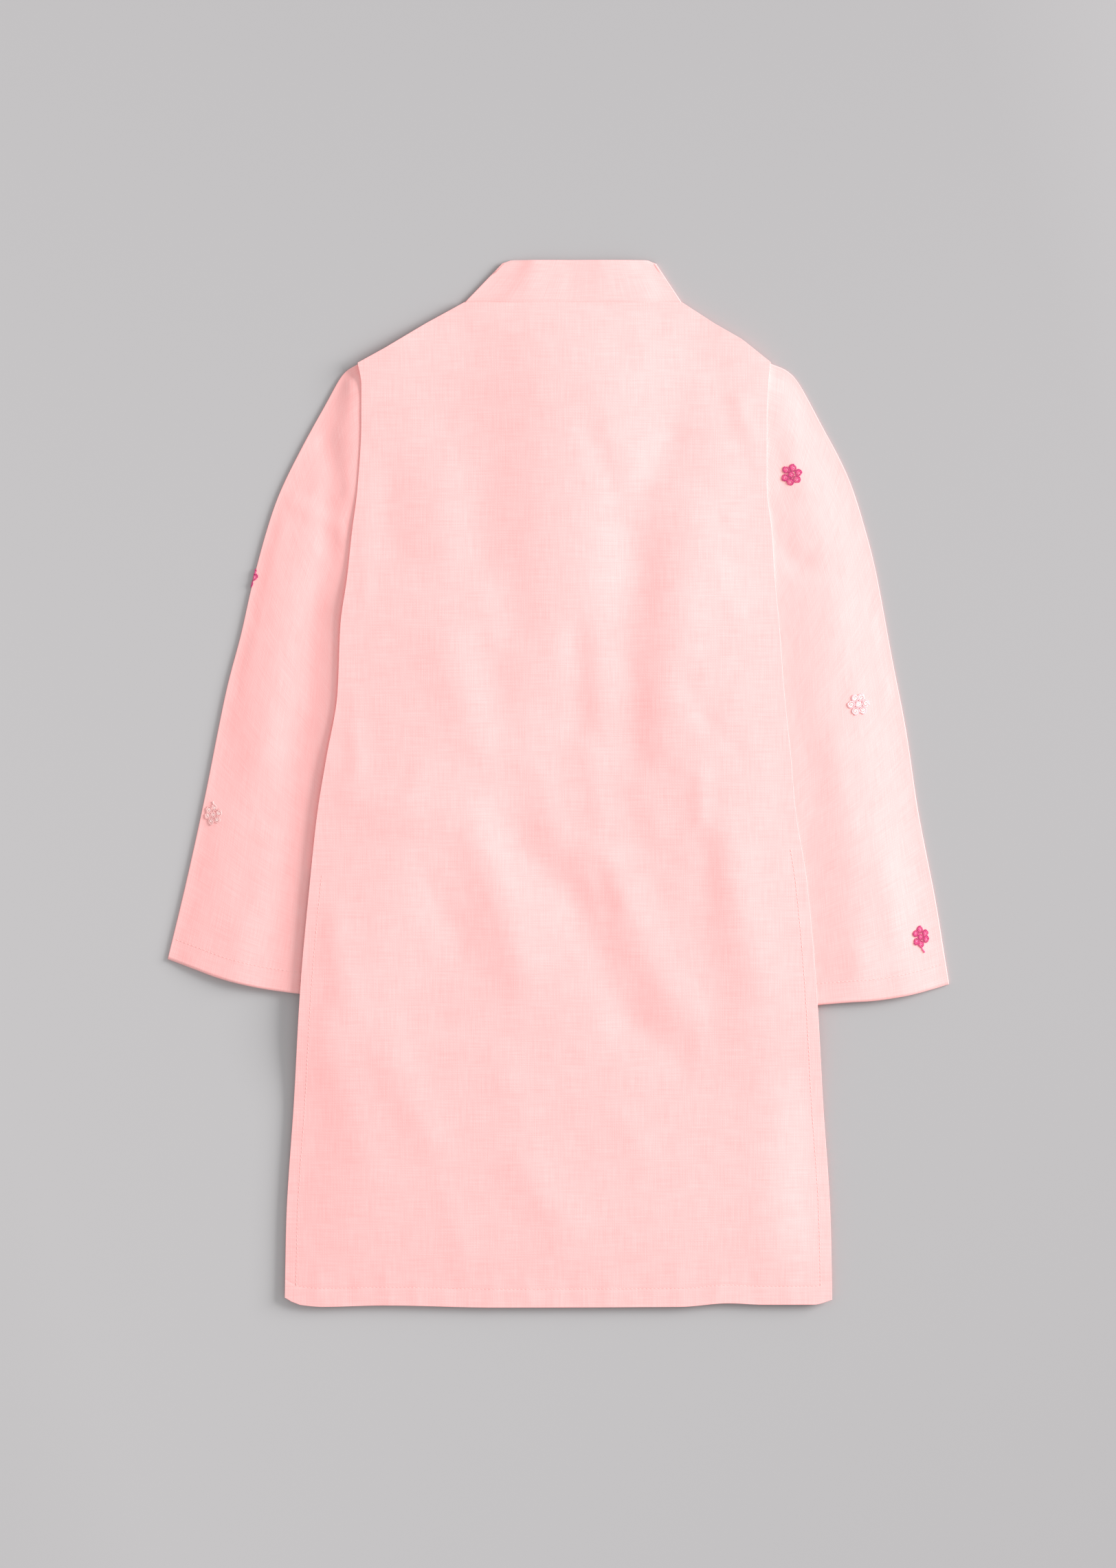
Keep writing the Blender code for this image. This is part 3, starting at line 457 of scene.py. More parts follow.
LEFT_SLEEVE = SleeveForm(
    side=Side.LEFT,
    cap_rise=0.0010,
    lean=0.0010,
    low_lean=0.0014,
    fold_haste=0.75,
    outer_points=(
        (-0.1330, 0.2960),
        (-0.1415, 0.2925),
        (-0.1515, 0.2850),
        (-0.1635, 0.2640),
        (-0.1795, 0.2350),
        (-0.1945, 0.2045),
        (-0.2040, 0.1775),
        (-0.2140, 0.1405),
        (-0.2225, 0.1030),
        (-0.2330, 0.0625),
        (-0.2480, -0.0120),
        (-0.2610, -0.0710),
        (-0.2735, -0.1230),
    ),
    inner_points=((-0.0830, 0.1150), (-0.1215, -0.0170), (-0.1645, -0.1490)),
    armhole_points=(
        (-0.1330, 0.2960),
        (-0.1325, 0.2590),
        (-0.1255, 0.2205),
        (-0.1155, 0.1825),
        (-0.1040, 0.1485),
        (-0.0935, 0.1285),
        (-0.0830, 0.1150),
    ),
    cuff_points=(
        (-0.2735, -0.1230),
        (-0.2560, -0.1295),
        (-0.2385, -0.1360),
        (-0.2200, -0.1410),
        (-0.1985, -0.1450),
        (-0.1645, -0.1490),
    ),
)
RIGHT_SLEEVE = SleeveForm(
    side=Side.RIGHT,
    outer_points=(
        (0.1410, 0.2965),
        (0.1490, 0.2930),
        (0.1600, 0.2880),
        (0.1690, 0.2775),
        (0.1855, 0.2470),
        (0.1965, 0.2265),
        (0.2050, 0.2070),
        (0.2135, 0.1800),
        (0.2220, 0.1465),
        (0.2330, 0.0875),
        (0.2430, 0.0360),
        (0.2515, -0.0205),
        (0.2630, -0.0795),
        (0.2700, -0.1220),
        (0.2730, -0.1405),
    ),
    inner_points=((0.0900, 0.1140), (0.1280, -0.0215), (0.1640, -0.1565)),
    armhole_points=(
        (0.1410, 0.2965),
        (0.1395, 0.2590),
        (0.1325, 0.2205),
        (0.1230, 0.1825),
        (0.1115, 0.1485),
        (0.1010, 0.1285),
        (0.0900, 0.1140),
    ),
    cuff_points=(
        (0.2730, -0.1405),
        (0.2615, -0.1440),
        (0.2440, -0.1485),
        (0.2220, -0.1520),
        (0.2000, -0.1535),
        (0.1640, -0.1565),
    ),
)


@dataclass(frozen=True)
class BodyForm:
    """Plan and heights of the two body panels, which lie on each other and on the sleeves."""

    wall: float = 0.0012
    hem_wall: float = 0.0015
    seam_gap: float = 0.0003
    layer_gap: float = 0.0010
    hem_depth: float = 0.013
    # The part of the hem's depth over which its inner edge is eased: one sixth
    hem_easing: float = 6.0
    rim: float = 0.0001
    neck_left: float = -0.0660
    neck_right: float = 0.0860
    neck_y: float = 0.3360
    neck_depth: float = 0.052
    left_vent_top: float = -0.0669
    right_vent_top: float = -0.0491
    vent_blend: float = 0.012
    placket_length: float = 0.190
    placket_lift: float = 0.0030
    placket_flat: float = 0.016
    placket_ramp: float = 0.055
    placket_end_ramp: float = 0.030
    sleeve_lift: float = 0.0044
    armhole_lift_top: float = 0.163
    armhole_lift_full: float = 0.127
    underarm_y: float = 0.1130
    collar_rise: float = 0.0009
    collar_rise_width: float = 0.030
    left_bulge: float = 0.0004
    right_bulge: float = -0.0006
    side_bulge_width: float = 0.022
    side_bulge_end: float = -0.0800
    side_bulge_fade: float = 0.060
    loft: float = 0.0024
    loft_edge: float = 0.050
    loft_lost_over_sleeve: float = 0.7
    fold_fade: float = 0.025
    least_clearance: float = 0.0011
    easing: float = 0.0008
    settling_passes: int = 6

    @property
    def neck_middle(self) -> float:
        """X of the centre line of the neck."""
        return (self.neck_left + self.neck_right) / 2

    def side_x(self, y: Array, side: Side) -> Array:
        """X of the body's edge."""
        return np.interp(y, *soft_table(BODY_SIDES, 1 if side is Side.LEFT else 2))

    def hem_y(self, x: Array) -> Array:
        """Y of the hem's edge."""
        return np.interp(x, *soft_table(HEM_EDGE, 1))

    def top_y(self, x: Array) -> Array:
        """Y of the shoulder seams and the neck seam."""
        table = np.array(TOP_EDGE)
        return np.interp(x, table[:, 0], table[:, 1])

    def plan(self, columns: Lines, rows: Lines) -> Lines:
        """Crossings of columns and rows that slant with the outline.

        Args:
            columns: Share of the width and offset of each column.
            rows: Share of the height and offset of each row.

        Returns:
            X and Y of every crossing.
        """
        share_x, offset_x = (values[None, :] for values in columns)
        share_y, offset_y = (values[:, None] for values in rows)
        low_y, high_y = HEM_EDGE[0][1], TOP_EDGE[0][1]
        y = low_y + (high_y - low_y) * (share_y + 0 * share_x)
        x = 0 * y
        for _ in range(self.settling_passes):
            left = self.side_x(y, Side.LEFT)
            right = self.side_x(y, Side.RIGHT)
            x = left + (right - left) * share_x + offset_x
            low = self.hem_y(x)
            high = self.top_y(x)
            y = low + (high - low) * share_y + offset_y
        return x, y

    def edge_distance(self, x: Array, y: Array) -> Array:
        """How far in from the body's outline points lie."""
        sides = np.minimum(x - self.side_x(y, Side.LEFT), self.side_x(y, Side.RIGHT) - x)
        ends = np.minimum(y - self.hem_y(x), self.top_y(x) - y)
        return np.maximum(np.minimum(sides, ends), 0.0)

    def over_sleeves(self, x: Array, y: Array) -> Array:
        """1 where a sleeve lies under the body, 0 where the body lies on the surface."""
        return np.maximum(LEFT_SLEEVE.nearness(x, y), RIGHT_SLEEVE.nearness(x, y))

    def over_placket(self, x: Array, y: Array) -> Array:
        """How far the buttons and the placket hold the front off the surface."""
        across = 1 - smoothstep((np.abs(x - self.neck_middle) - self.placket_flat) / self.placket_ramp)
        end = self.neck_y - self.neck_depth - self.placket_length - LEFT_SLEEVE.lift_margin
        above_end = smoothstep((y - end) / self.placket_end_ramp + 1)
        below_neck = smoothstep((self.neck_y - y) / self.placket_end_ramp)
        return self.placket_lift * across * above_end * below_neck

    def front(self, x: Array, y: Array, over: Array) -> Array:
        """Height of the front panel's outer face, which lies down."""
        ramp = self.armhole_lift_top - self.armhole_lift_full
        below_armhole = smoothstep((self.armhole_lift_top - y) / ramp)
        return np.maximum(self.sleeve_lift * over * below_armhole, self.over_placket(x, y))

    def under_back(self, x: Array, y: Array, over: Array) -> Array:
        """Height of whatever lies just under the back panel."""
        beside = np.maximum(np.abs(x - self.neck_middle) - (self.neck_right - self.neck_left) / 2, 0.0)
        below = np.maximum(self.neck_y - self.neck_depth - y, 0.0)
        rise = self.collar_rise * (1 - smoothstep(np.hypot(beside, below) / self.collar_rise_width))
        hem_share = 1 - smoothstep((y - self.hem_y(x) - self.hem_depth) / (self.hem_depth / self.hem_easing))
        wall = self.wall + rise + (self.hem_wall - self.wall) * hem_share
        return np.maximum(self.front(x, y, over) + wall, LEFT_SLEEVE.height * over)

    def bulge(self, x: Array, y: Array) -> Array:
        """How far the folded cloth stands up along the closed sides, or is pressed down."""
        from_side = np.minimum(x - self.side_x(y, Side.LEFT), self.side_x(y, Side.RIGHT) - x)
        height = np.where(x < 0, self.left_bulge, self.right_bulge)
        height = height * (1 - smoothstep((from_side - self.rim) / self.side_bulge_width))
        return height * smoothstep((y - self.side_bulge_end + self.side_bulge_fade) / self.side_bulge_fade)

    def unfolded_back(self, x: Array, y: Array) -> Array:
        """Height of the back panel's outer face before its folds and its rolled edge."""
        edge = self.edge_distance(x, y)
        over = self.over_sleeves(x, y)
        loft = self.loft * smoothstep(edge / self.loft_edge) * (1 - self.loft_lost_over_sleeve * over)
        return self.under_back(x, y, over) + self.layer_gap + self.bulge(x, y) + loft + self.wall

    @cached_property
    def soft_front(self) -> SoftHeights:
        """The front panel's outer face, softened."""
        return SoftHeights(lambda x, y: self.front(x, y, self.over_sleeves(x, y)))

    @cached_property
    def soft_under(self) -> SoftHeights:
        """What lies just under the back panel, softened."""
        return SoftHeights(lambda x, y: self.under_back(x, y, self.over_sleeves(x, y)))

    @cached_property
    def soft_back(self) -> SoftHeights:
        """The back panel's outer face without its folds, softened."""
        return SoftHeights(self.unfolded_back)

    def back(self, x: Array, y: Array, folds: Table) -> Array:
        """Height of the back panel's outer face.

        Args:
            x, y: Places in the plane.
            folds: The ridges and troughs that the panel has.

        Returns:
            The height at each place.
        """
        edge = self.edge_distance(x, y)
        roll = np.sin(np.minimum(edge / self.rim, 1.0) * math.pi / 2)
        worked = folds_at(x, y, folds) * smoothstep(edge / self.fold_fade) + folds_at(x, y, HEM_PUCKERS)
        z = self.soft_back.at(x, y) + worked
        least = self.soft_under.at(x, y) + self.least_clearance
        z = (z + least + np.sqrt((z - least) ** 2 + self.easing**2)) / 2
        return z - (1 - roll) * (self.layer_gap - self.seam_gap + np.maximum(self.bulge(x, y), 0.0))

    def closed(self, x: Array, y: Array) -> Array:
        """1 where the panels are joined at the edge, 0 along the vents and the hem."""
        left = smoothstep((y - self.left_vent_top) / self.vent_blend)
        right = smoothstep((y - self.right_vent_top) / self.vent_blend)
        return np.where(x < 0, left, right)


BODY = BodyForm()


# Meshes


def finished(name: str, mesh: Mesh, material: Material | None) -> Piece:
    """An object at the origin that shows the mesh in one material."""
    piece = bpy.data.objects.new(name, mesh)
    bpy.context.scene.collection.objects.link(piece)
    if material:
        mesh.materials.clear()
        mesh.materials.append(material)
    mesh.shade_smooth()
    return piece


def mesh_of(name: str, points: Array, faces: list[Array], weave: Array) -> Mesh:
    """A mesh from arrays of points and quads.

    Args:
        name: The mesh's name.
        points: One point a row.
        faces: Arrays of four indices a row.
        weave: Place of each point on the flat cloth, in metres.

    Returns:
        The mesh, with the places as its UV map "weave".
    """
    mesh = bpy.data.meshes.new(name)
    quads = np.vstack(faces)
    mesh.from_pydata(points.tolist(), [], quads.tolist())
    mesh.update()
    layer = mesh.uv_layers.new(name="weave")
    corners = np.zeros(len(mesh.loops), np.int32)
    mesh.loops.foreach_get("vertex_index", corners)
    layer.data.foreach_set("uv", weave[corners].astype(np.float32).ravel())
    return mesh


def grid_faces(rows: int, columns: int, start: int = 0) -> Array:
    """Quads of a grid whose points run along its rows, facing +Z where rows run up."""
    index = start + np.arange(rows * columns).reshape(rows, columns)
    corners = (index[:-1, :-1], index[:-1, 1:], index[1:, 1:], index[1:, :-1])
    return np.stack([c.ravel() for c in corners], axis=1)


def sheet_mesh(name: str, points: Array, weave: Array) -> Mesh:
    """A mesh of one grid of points, with the place of each on the flat cloth."""
    return mesh_of(name, points.reshape(-1, 3), [grid_faces(*points.shape[:2])], weave.reshape(-1, 2))


def rim_order(rows: int, columns: int) -> Array:
    """Indices of a grid's outer points, counter-clockwise from above."""
    index = np.arange(rows * columns).reshape(rows, columns)
    sides = (index[0, :-1], index[:-1, -1], index[-1, :0:-1], index[:0:-1, 0])
    return np.concatenate(sides)


def shell_mesh(name: str, upper: Array, lower: Array, rings: list[Array], weave: Array) -> Mesh:
    """A closed thin shell: an upper and a lower face joined by a rolled edge.

    Args:
        name: The mesh's name.
        upper: Points of the upper face, by row and column.
        lower: Points of the lower face, in the same grid.
        rings: Points of the edge, from the upper face down, each in the order of rim_order.
        weave: Place on the flat cloth of each point of the grid.

    Returns:
        The closed mesh.
    """
    rows, columns = upper.shape[:2]
    count = rows * columns
    rim = rim_order(rows, columns)
    points = [upper.reshape(-1, 3), lower.reshape(-1, 3), *rings]
    flat = weave.reshape(-1, 2)
    places = [flat, flat, *[flat[rim]] * len(rings)]
    faces = [grid_faces(rows, columns), grid_faces(rows, columns, count)[:, ::-1]]
    around = [2 * count + k * len(rim) + np.arange(len(rim)) for k in range(len(rings))]
    loops = [rim, *around, rim + count]
    for above, below in zip(loops, loops[1:]):
        after_above, after_below = np.roll(above, -1), np.roll(below, -1)
        faces.append(np.stack([below, after_below, after_above, above], axis=1))
    return mesh_of(name, np.vstack(points), faces, np.vstack(places))


def add_modifier(piece: Piece, name: str, kind: str, settings: dict) -> None:
    """Adds a modifier with its settings."""
    modifier = piece.modifiers.new(name, kind)
    for key, value in settings.items():
        setattr(modifier, key, value)


def apply_modifiers(piece: Piece) -> Mesh:
    """The mesh that the object shows, as plain data with all its attributes."""
    graph = bpy.context.evaluated_depsgraph_get()
    shown = piece.evaluated_get(graph)
    return bpy.data.meshes.new_from_object(shown, preserve_all_data_layers=True, depsgraph=graph)


def drop(*objects: Piece) -> None:
    """Removes working objects that are no longer needed."""
    for item in objects:
        bpy.data.objects.remove(item, do_unlink=True)


# Finishes


def linear(code: str) -> tuple[float, float, float, float]:
    """Linear colour of an sRGB hex code."""
    channels = [int(code[i : i + 2], 16) / 255 for i in (1, 3, 5)]
    plain = [c / 12.92 if c <= 0.04045 else ((c + 0.055) / 1.055) ** 2.4 for c in channels]
    return (*plain, 1.0)


def add_node(tree: Tree, kind: str, settings: dict | None = None, inputs: dict | None = None) -> Node:
    """Adds a node with its settings, values and links.

    Args:
        tree: The tree that gets the node.
        kind: The node's type.
        settings: Properties of the node.
        inputs: By socket name or number, a value or the output socket that feeds it.

    Returns:
        The new node.
    """
    node = tree.nodes.new(kind)
    for name, value in (settings or {}).items():
        setattr(node, name, value)
    for key, value in (inputs or {}).items():
        socket = node.inputs[key]
        if isinstance(value, Socket):
            tree.links.new(value, socket)
        else:
            socket.default_value = value
    return node


def worked(tree: Tree, operation: str, *values: Socket | float) -> Socket:
    """The result of a Math node that is fed with the values in order."""
    return add_node(tree, "ShaderNodeMath", {"operation": operation}, dict(enumerate(values))).outputs[0]


def noise(tree: Tree, place: Socket, scale: float, inputs: dict[str, float], flat: bool = False) -> Socket:
    """Soft noise at a place, drawn in its plane alone where it is flat."""
    settings = {"noise_dimensions": "2D" if flat else "3D"}
    fed = {"Vector": place, "Scale": scale, **inputs}
    return add_node(tree, "ShaderNodeTexNoise", settings, fed).outputs[0]


def blend(tree: Tree, share: Socket, low: str, high: str) -> Socket:
    """The colour between two hex codes at a share."""
    inputs = {0: share, 6: linear(low), 7: linear(high)}
    return add_node(tree, "ShaderNodeMix", {"data_type": "RGBA"}, inputs).outputs[2]


def object_place(tree: Tree) -> Socket:
    """The place on the piece in Object coordinates."""
    return add_node(tree, "ShaderNodeTexCoord").outputs["Object"]


def shader_tree(name: str) -> tuple[Material, Tree, Node]:
    """A new material with its tree and its Principled shader."""
    material = bpy.data.materials.new(name)
    material.use_nodes = True
    tree = material.node_tree
    return material, tree, tree.nodes["Principled BSDF"]


@dataclass(frozen=True)
class WovenCotton:
    """Light plain-woven cotton with uneven yarn: matte, soft, with faint streaks both ways.

    Real yarns lie about 0.35 mm apart, too fine to show, so the weave is drawn 1 mm apart.
    """

    name: str = "plain_weave_pink_cotton"
    thick_yarn: str = "#FEC1BF"
    thin_yarn: str = "#FCB4B2"
    yarn_spacing_mm: float = 1.0
    slub_width_mm: float = 0.8
    slub_length_mm: float = 22.0
    cloud_mm: float = 14.0
    bump_mm: float = 0.035
    # Part of the clouds in the tone beside the yarns' streaks, and the tones of thin and of thick yarn
    cloud_part: float = 0.5
    thin_tone: float = 0.85
    thick_tone: float = 1.65
    # Part of the yarns' crossings in the relief beside the streaks
    crossing_part: float = 0.22
    roughness: float = 0.88
    sheen: float = 0.08
    specular: float = 0.2

    def streaks(self, tree: Tree, place: Socket, along_y: bool) -> Socket:
        """Uneven yarns that run one way.

        Args:
            tree: The material's tree.
            place: Place on the cloth in millimetres.
            along_y: True for the warp, which runs the garment's length.

        Returns:
            A value about 0.5 that wanders between 0 and 1.
        """
        fine, long = 1 / self.slub_width_mm, 1 / self.slub_length_mm
        scale = (fine, long, 1.0) if along_y else (long, fine, 1.0)
        stretched = add_node(tree, "ShaderNodeMapping", {}, {"Vector": place, "Scale": scale})
        return noise(tree, stretched.outputs[0], 1.0, {"Detail": 2.0, "Roughness": 0.6}, flat=True)

    def build(self) -> Material:
        """The material, read from the pieces' UV map "weave"."""
        material, tree, shader = shader_tree(self.name)
        cloth = add_node(tree, "ShaderNodeUVMap", {"uv_map": "weave"}).outputs[0]
        to_mm = {0: cloth, "Scale": 1 / MM}
        place = add_node(tree, "ShaderNodeVectorMath", {"operation": "SCALE"}, to_mm).outputs[0]
        warp = self.streaks(tree, place, True)
        weft = self.streaks(tree, place, False)
        cloud = noise(tree, place, 1 / self.cloud_mm, {"Detail": 3.0, "Roughness": 0.55}, flat=True)
        split = add_node(tree, "ShaderNodeSeparateXYZ", {}, {0: place})
        waves = []
        for axis in range(2):
            phase = worked(tree, "MULTIPLY", split.outputs[axis], math.pi / self.yarn_spacing_mm)
            waves.append(worked(tree, "SINE", phase))
        crossing = worked(tree, "MULTIPLY", *waves)
        slubs = worked(tree, "ADD", warp, weft)
        tone = worked(tree, "MULTIPLY_ADD", cloud, self.cloud_part, slubs)
        spread = {"Value": tone, "From Min": self.thin_tone, "From Max": self.thick_tone}
        share = add_node(tree, "ShaderNodeMapRange", {}, spread).outputs[0]
        relief = worked(tree, "MULTIPLY_ADD", crossing, self.crossing_part, slubs)
        raised = {"Height": relief, "Distance": self.bump_mm * MM, "Strength": 1.0}
        bump = add_node(tree, "ShaderNodeBump", {}, raised)
        tree.links.new(blend(tree, share, self.thin_yarn, self.thick_yarn), shader.inputs["Base Color"])
        tree.links.new(bump.outputs[0], shader.inputs["Normal"])
        shader.inputs["Roughness"].default_value = self.roughness
        shader.inputs["Sheen Weight"].default_value = self.sheen
        shader.inputs["Specular IOR Level"].default_value = self.specular
        return material


@dataclass(frozen=True)
class EmbroideryThread:
    """Stranded thread with a soft lustre; its colour is painted with shade at a petal's edge, where the
    stitches turn down, and with a highlight at its crown.
    """

    name: str
    # The edge colour is painted shade, the middle colour is the thread's own, the crown colour is a painted
    # highlight
    edge: str
    middle: str
    crown_highlight: str
    # Depth at which the middle colour lies, from 0 at a petal's edge to 1 at its crown
    middle_depth: float = 0.45
    roughness: float = 0.48
    sheen: float = 0.2

    def build(self) -> Material:
        """The material, with its painted shade and painted highlight set by the stitches' own attribute
        "depth".
        """
        material, tree, shader = shader_tree(self.name)
        depth = add_node(tree, "ShaderNodeAttribute", {"attribute_name": "depth"})
        ramp = add_node(tree, "ShaderNodeValToRGB", {}, {0: depth.outputs["Fac"]})
        # Painted shade at the petal's edge, lightening to a painted highlight at its crown
        ramp.color_ramp.elements[0].color = linear(self.edge)
        ramp.color_ramp.elements[1].color = linear(self.crown_highlight)
        ramp.color_ramp.elements.new(self.middle_depth).color = linear(self.middle)
        tree.links.new(ramp.outputs[0], shader.inputs["Base Color"])
        shader.inputs["Roughness"].default_value = self.roughness
        shader.inputs["Sheen Weight"].default_value = self.sheen
        return material


@dataclass(frozen=True)
class SewingThread:
    """Spun polyester sewing thread in the cloth's colour: it shows only as small beads along a seam."""

    name: str = "spun_sewing_thread"
    dark: str = "#EDB4AE"
    light: str = "#FBD2CD"
    strand_mm: float = 0.35
    roughness: float = 0.6

    def build(self) -> Material:
        """The material, with a fine twist from Object coordinates."""
        material, tree, shader = shader_tree(self.name)
        twist = noise(tree, object_place(tree), 1 / (self.strand_mm * MM), {"Detail": 1.0})
        tree.links.new(blend(tree, twist, self.dark, self.light), shader.inputs["Base Color"])
        shader.inputs["Roughness"].default_value = self.roughness
        return material


@dataclass(frozen=True)
class PearlButton:
    """Moulded pearly polyester, as small shirt buttons are: satin, with cloudy layers."""

    name: str = "pearl_polyester"
    shade: str = "#E4D2C8"
    light: str = "#F6ECE4"
    layer_mm: float = 2.4
    roughness: float = 0.3
    coat: float = 0.3

    def build(self) -> Material:
        """The material, with layers from Object coordinates."""
        material, tree, shader = shader_tree(self.name)
        cloudy = {"Detail": 3.0, "Distortion": 1.4}
        layers = noise(tree, object_place(tree), 1 / (self.layer_mm * MM), cloudy)
        tree.links.new(blend(tree, layers, self.shade, self.light), shader.inputs["Base Color"])
        shader.inputs["Roughness"].default_value = self.roughness
        shader.inputs["Coat Weight"].default_value = self.coat
        return material


@dataclass(frozen=True)
class StudioPaper:
    """Seamless background paper: matte, a little toothed, and graded against the light to look even."""

    name: str = "seamless_grey_paper"
    far_side: str = "#BDBBBC"
    lit_side: str = "#9E9C9D"
    span: float = 0.44
    tooth: float = 0.015
    tooth_mm: float = 1.5
    roughness: float = 0.95
    specular: float = 0.1

    def build(self) -> Material:
        """The material, with its tooth from Object coordinates."""
        material, tree, shader = shader_tree(self.name)
        place = object_place(tree)
        tooth = noise(tree, place, 1 / (self.tooth_mm * MM), {"Detail": 2.0})
        towards_light = {0: place, 1: (*LIGHT_DIRECTION, 0.0)}
        along = add_node(tree, "ShaderNodeVectorMath", {"operation": "DOT_PRODUCT"}, towards_light)
        spread = {"Value": along.outputs["Value"], "From Min": -self.span, "From Max": self.span}
        even = add_node(tree, "ShaderNodeMapRange", {}, spread).outputs[0]
        shift = worked(tree, "MULTIPLY_ADD", tooth, self.tooth, even)
        tree.links.new(blend(tree, shift, self.far_side, self.lit_side), shader.inputs["Base Color"])
        shader.inputs["Roughness"].default_value = self.roughness
        shader.inputs["Specular IOR Level"].default_value = self.specular
        return material


# Stitches, laid along paths by Geometry Nodes


@dataclass(frozen=True)
class StitchLayer:
    """A node tree that lays stitches along a path, and the sizes of one kind of stitch."""

    name: str
    pitch: float
    length: float
    width: float
    height: float
    strand_angle: float = 0.0
    strand_spread: float = 0.0
    wander: float = 0.06
    seed: int = 4
    segments: int = 8
    rings: int = 5

    def sockets(self) -> dict[str, float]:
        """The tree's named inputs and their values."""
        return {
            "Pitch": self.pitch,
            "Length": self.length,
            "Width": self.width,
            "Height": self.height,
            "Strand Angle": self.strand_angle,
            "Strand Spread": self.strand_spread,
            "Wander": self.wander,
        }

    def tree(self) -> Tree:
        """The tree: path in, plain stitches out."""
        tree = bpy.data.node_groups.new(self.name, "GeometryNodeTree")
        tree.interface.new_socket("Geometry", in_out="INPUT", socket_type="NodeSocketGeometry")
        for label in self.sockets():
            tree.interface.new_socket(label, in_out="INPUT", socket_type="NodeSocketFloat")
        tree.interface.new_socket("Seed", in_out="INPUT", socket_type="NodeSocketInt")
        tree.interface.new_socket("Material", in_out="INPUT", socket_type="NodeSocketMaterial")
        tree.interface.new_socket("Geometry", in_out="OUTPUT", socket_type="NodeSocketGeometry")
        given = add_node(tree, "NodeGroupInput").outputs
        path = add_node(tree, "GeometryNodeMeshToCurve", {}, {"Mesh": given["Geometry"]})
        run = {"Curve": path.outputs[0], "Length": given["Pitch"]}
        even = add_node(tree, "GeometryNodeResampleCurve", {"mode": "LENGTH"}, run)
        ball = {"Segments": self.segments, "Rings": self.rings, "Radius": 0.5}
        bead = add_node(tree, "GeometryNodeMeshUVSphere", {}, ball)
        sizes = {0: given["Length"], 1: given["Width"], 2: given["Height"]}
        size = add_node(tree, "ShaderNodeCombineXYZ", {}, sizes)
        strands = []
        for sign in (-1.0, 1.0):
            turn = worked(tree, "MULTIPLY", given["Strand Angle"], sign)
            shift = worked(tree, "MULTIPLY", given["Strand Spread"], sign)
            angles = add_node(tree, "ShaderNodeCombineXYZ", {}, {2: turn})
            place = add_node(tree, "ShaderNodeCombineXYZ", {}, {1: shift})
            moves = {"Geometry": bead.outputs[0], "Translation": place.outputs[0]}
            moves |= {"Rotation": angles.outputs[0], "Scale": size.outputs[0]}
            strands.append(add_node(tree, "GeometryNodeTransform", {}, moves).outputs[0])
        link = add_node(tree, "GeometryNodeJoinGeometry")
        for strand in strands[: 2 if self.strand_spread else 1]:
            tree.links.new(strand, link.inputs[0])
        tangent = add_node(tree, "GeometryNodeInputTangent").outputs[0]
        axes = {"axis": "X", "pivot_axis": "Z"}
        aligned = add_node(tree, "FunctionNodeAlignRotationToVector", axes, {"Vector": tangent})
        low = worked(tree, "SUBTRACT", 1.0, given["Wander"])
        high = worked(tree, "ADD", given["Wander"], 1.0)
        spread = {2: low, 3: high, "Seed": given["Seed"]}
        scale = add_node(tree, "FunctionNodeRandomValue", {"data_type": "FLOAT"}, spread)
        spots = {"Points": even.outputs[0], "Instance": link.outputs[0]}
        spots |= {"Rotation": aligned.outputs[0], "Scale": scale.outputs[1]}
        laid = add_node(tree, "GeometryNodeInstanceOnPoints", {}, spots)
        plain = add_node(tree, "GeometryNodeRealizeInstances", {}, {0: laid.outputs[0]})
        finish = {"Geometry": plain.outputs[0], "Material": given["Material"]}
        dressed = add_node(tree, "GeometryNodeSetMaterial", {}, finish)
        add_node(tree, "NodeGroupOutput", {}, {0: dressed.outputs[0]})
        return tree

    def lay(
        self, name: str, paths: list[Array], material: Material, depths: list[Array] | None = None
    ) -> Piece:
        """Stitches along paths, as one plain mesh.

        Args:
            name: The piece's name.
            paths: Lines of points that the stitches follow.
            material: The thread's finish.
            depths: For each path, the value of "depth" at its points.

        Returns:
            The finished piece.
        """
        points = np.vstack(paths)
        edges, start = [], 0
        for path in paths:
            index = start + np.arange(len(path))
            edges.append(np.stack([index[:-1], index[1:]], axis=1))
            start += len(path)
        mesh = bpy.data.meshes.new(f"{name}_path")
        mesh.from_pydata(points.tolist(), np.vstack(edges).tolist(), [])
        values = np.concatenate(depths) if depths else np.full(len(points), 0.5)
        mesh.attributes.new("depth", "FLOAT", "POINT").data.foreach_set("value", values.astype(np.float32))
        carrier = bpy.data.objects.new(f"{name}_path", mesh)
        bpy.context.scene.collection.objects.link(carrier)
        tree = self.tree()
        sewing = carrier.modifiers.new("stitches", "NODES")
        sewing.node_group = tree
        values_by_name = {**self.sockets(), "Seed": self.seed, "Material": material}
        for item in tree.interface.items_tree:
            if item.item_type == "SOCKET" and item.in_out == "INPUT" and item.name in values_by_name:
                sewing[item.identifier] = values_by_name[item.name]
        plain = apply_modifiers(carrier)
        drop(carrier)
        plain.name = name
        return finished(name, plain, material)


# The kurta's pieces


@dataclass
class Finishes:
    """Every material of the kurta, built once."""

    cotton: Material = field(default_factory=lambda: WovenCotton().build())
    seam_thread: Material = field(default_factory=lambda: SewingThread().build())
    pearl: Material = field(default_factory=lambda: PearlButton().build())
    # Thread colours by edge, middle and crown: painted shade, the thread's own colour, painted highlight
    magenta: Material = field(
        default_factory=lambda: EmbroideryThread("magenta_thread", "#C23070", "#F0508F", "#FF93BE").build()
    )
    white: Material = field(
        default_factory=lambda: EmbroideryThread("white_thread", "#F2C6CB", "#FFF0EE", "#FFFDFC").build()
    )
    pale: Material = field(
        default_factory=lambda: EmbroideryThread("pale_pink_thread", "#F3B9B7", "#FCD2CF", "#FFE8E5").build()
    )


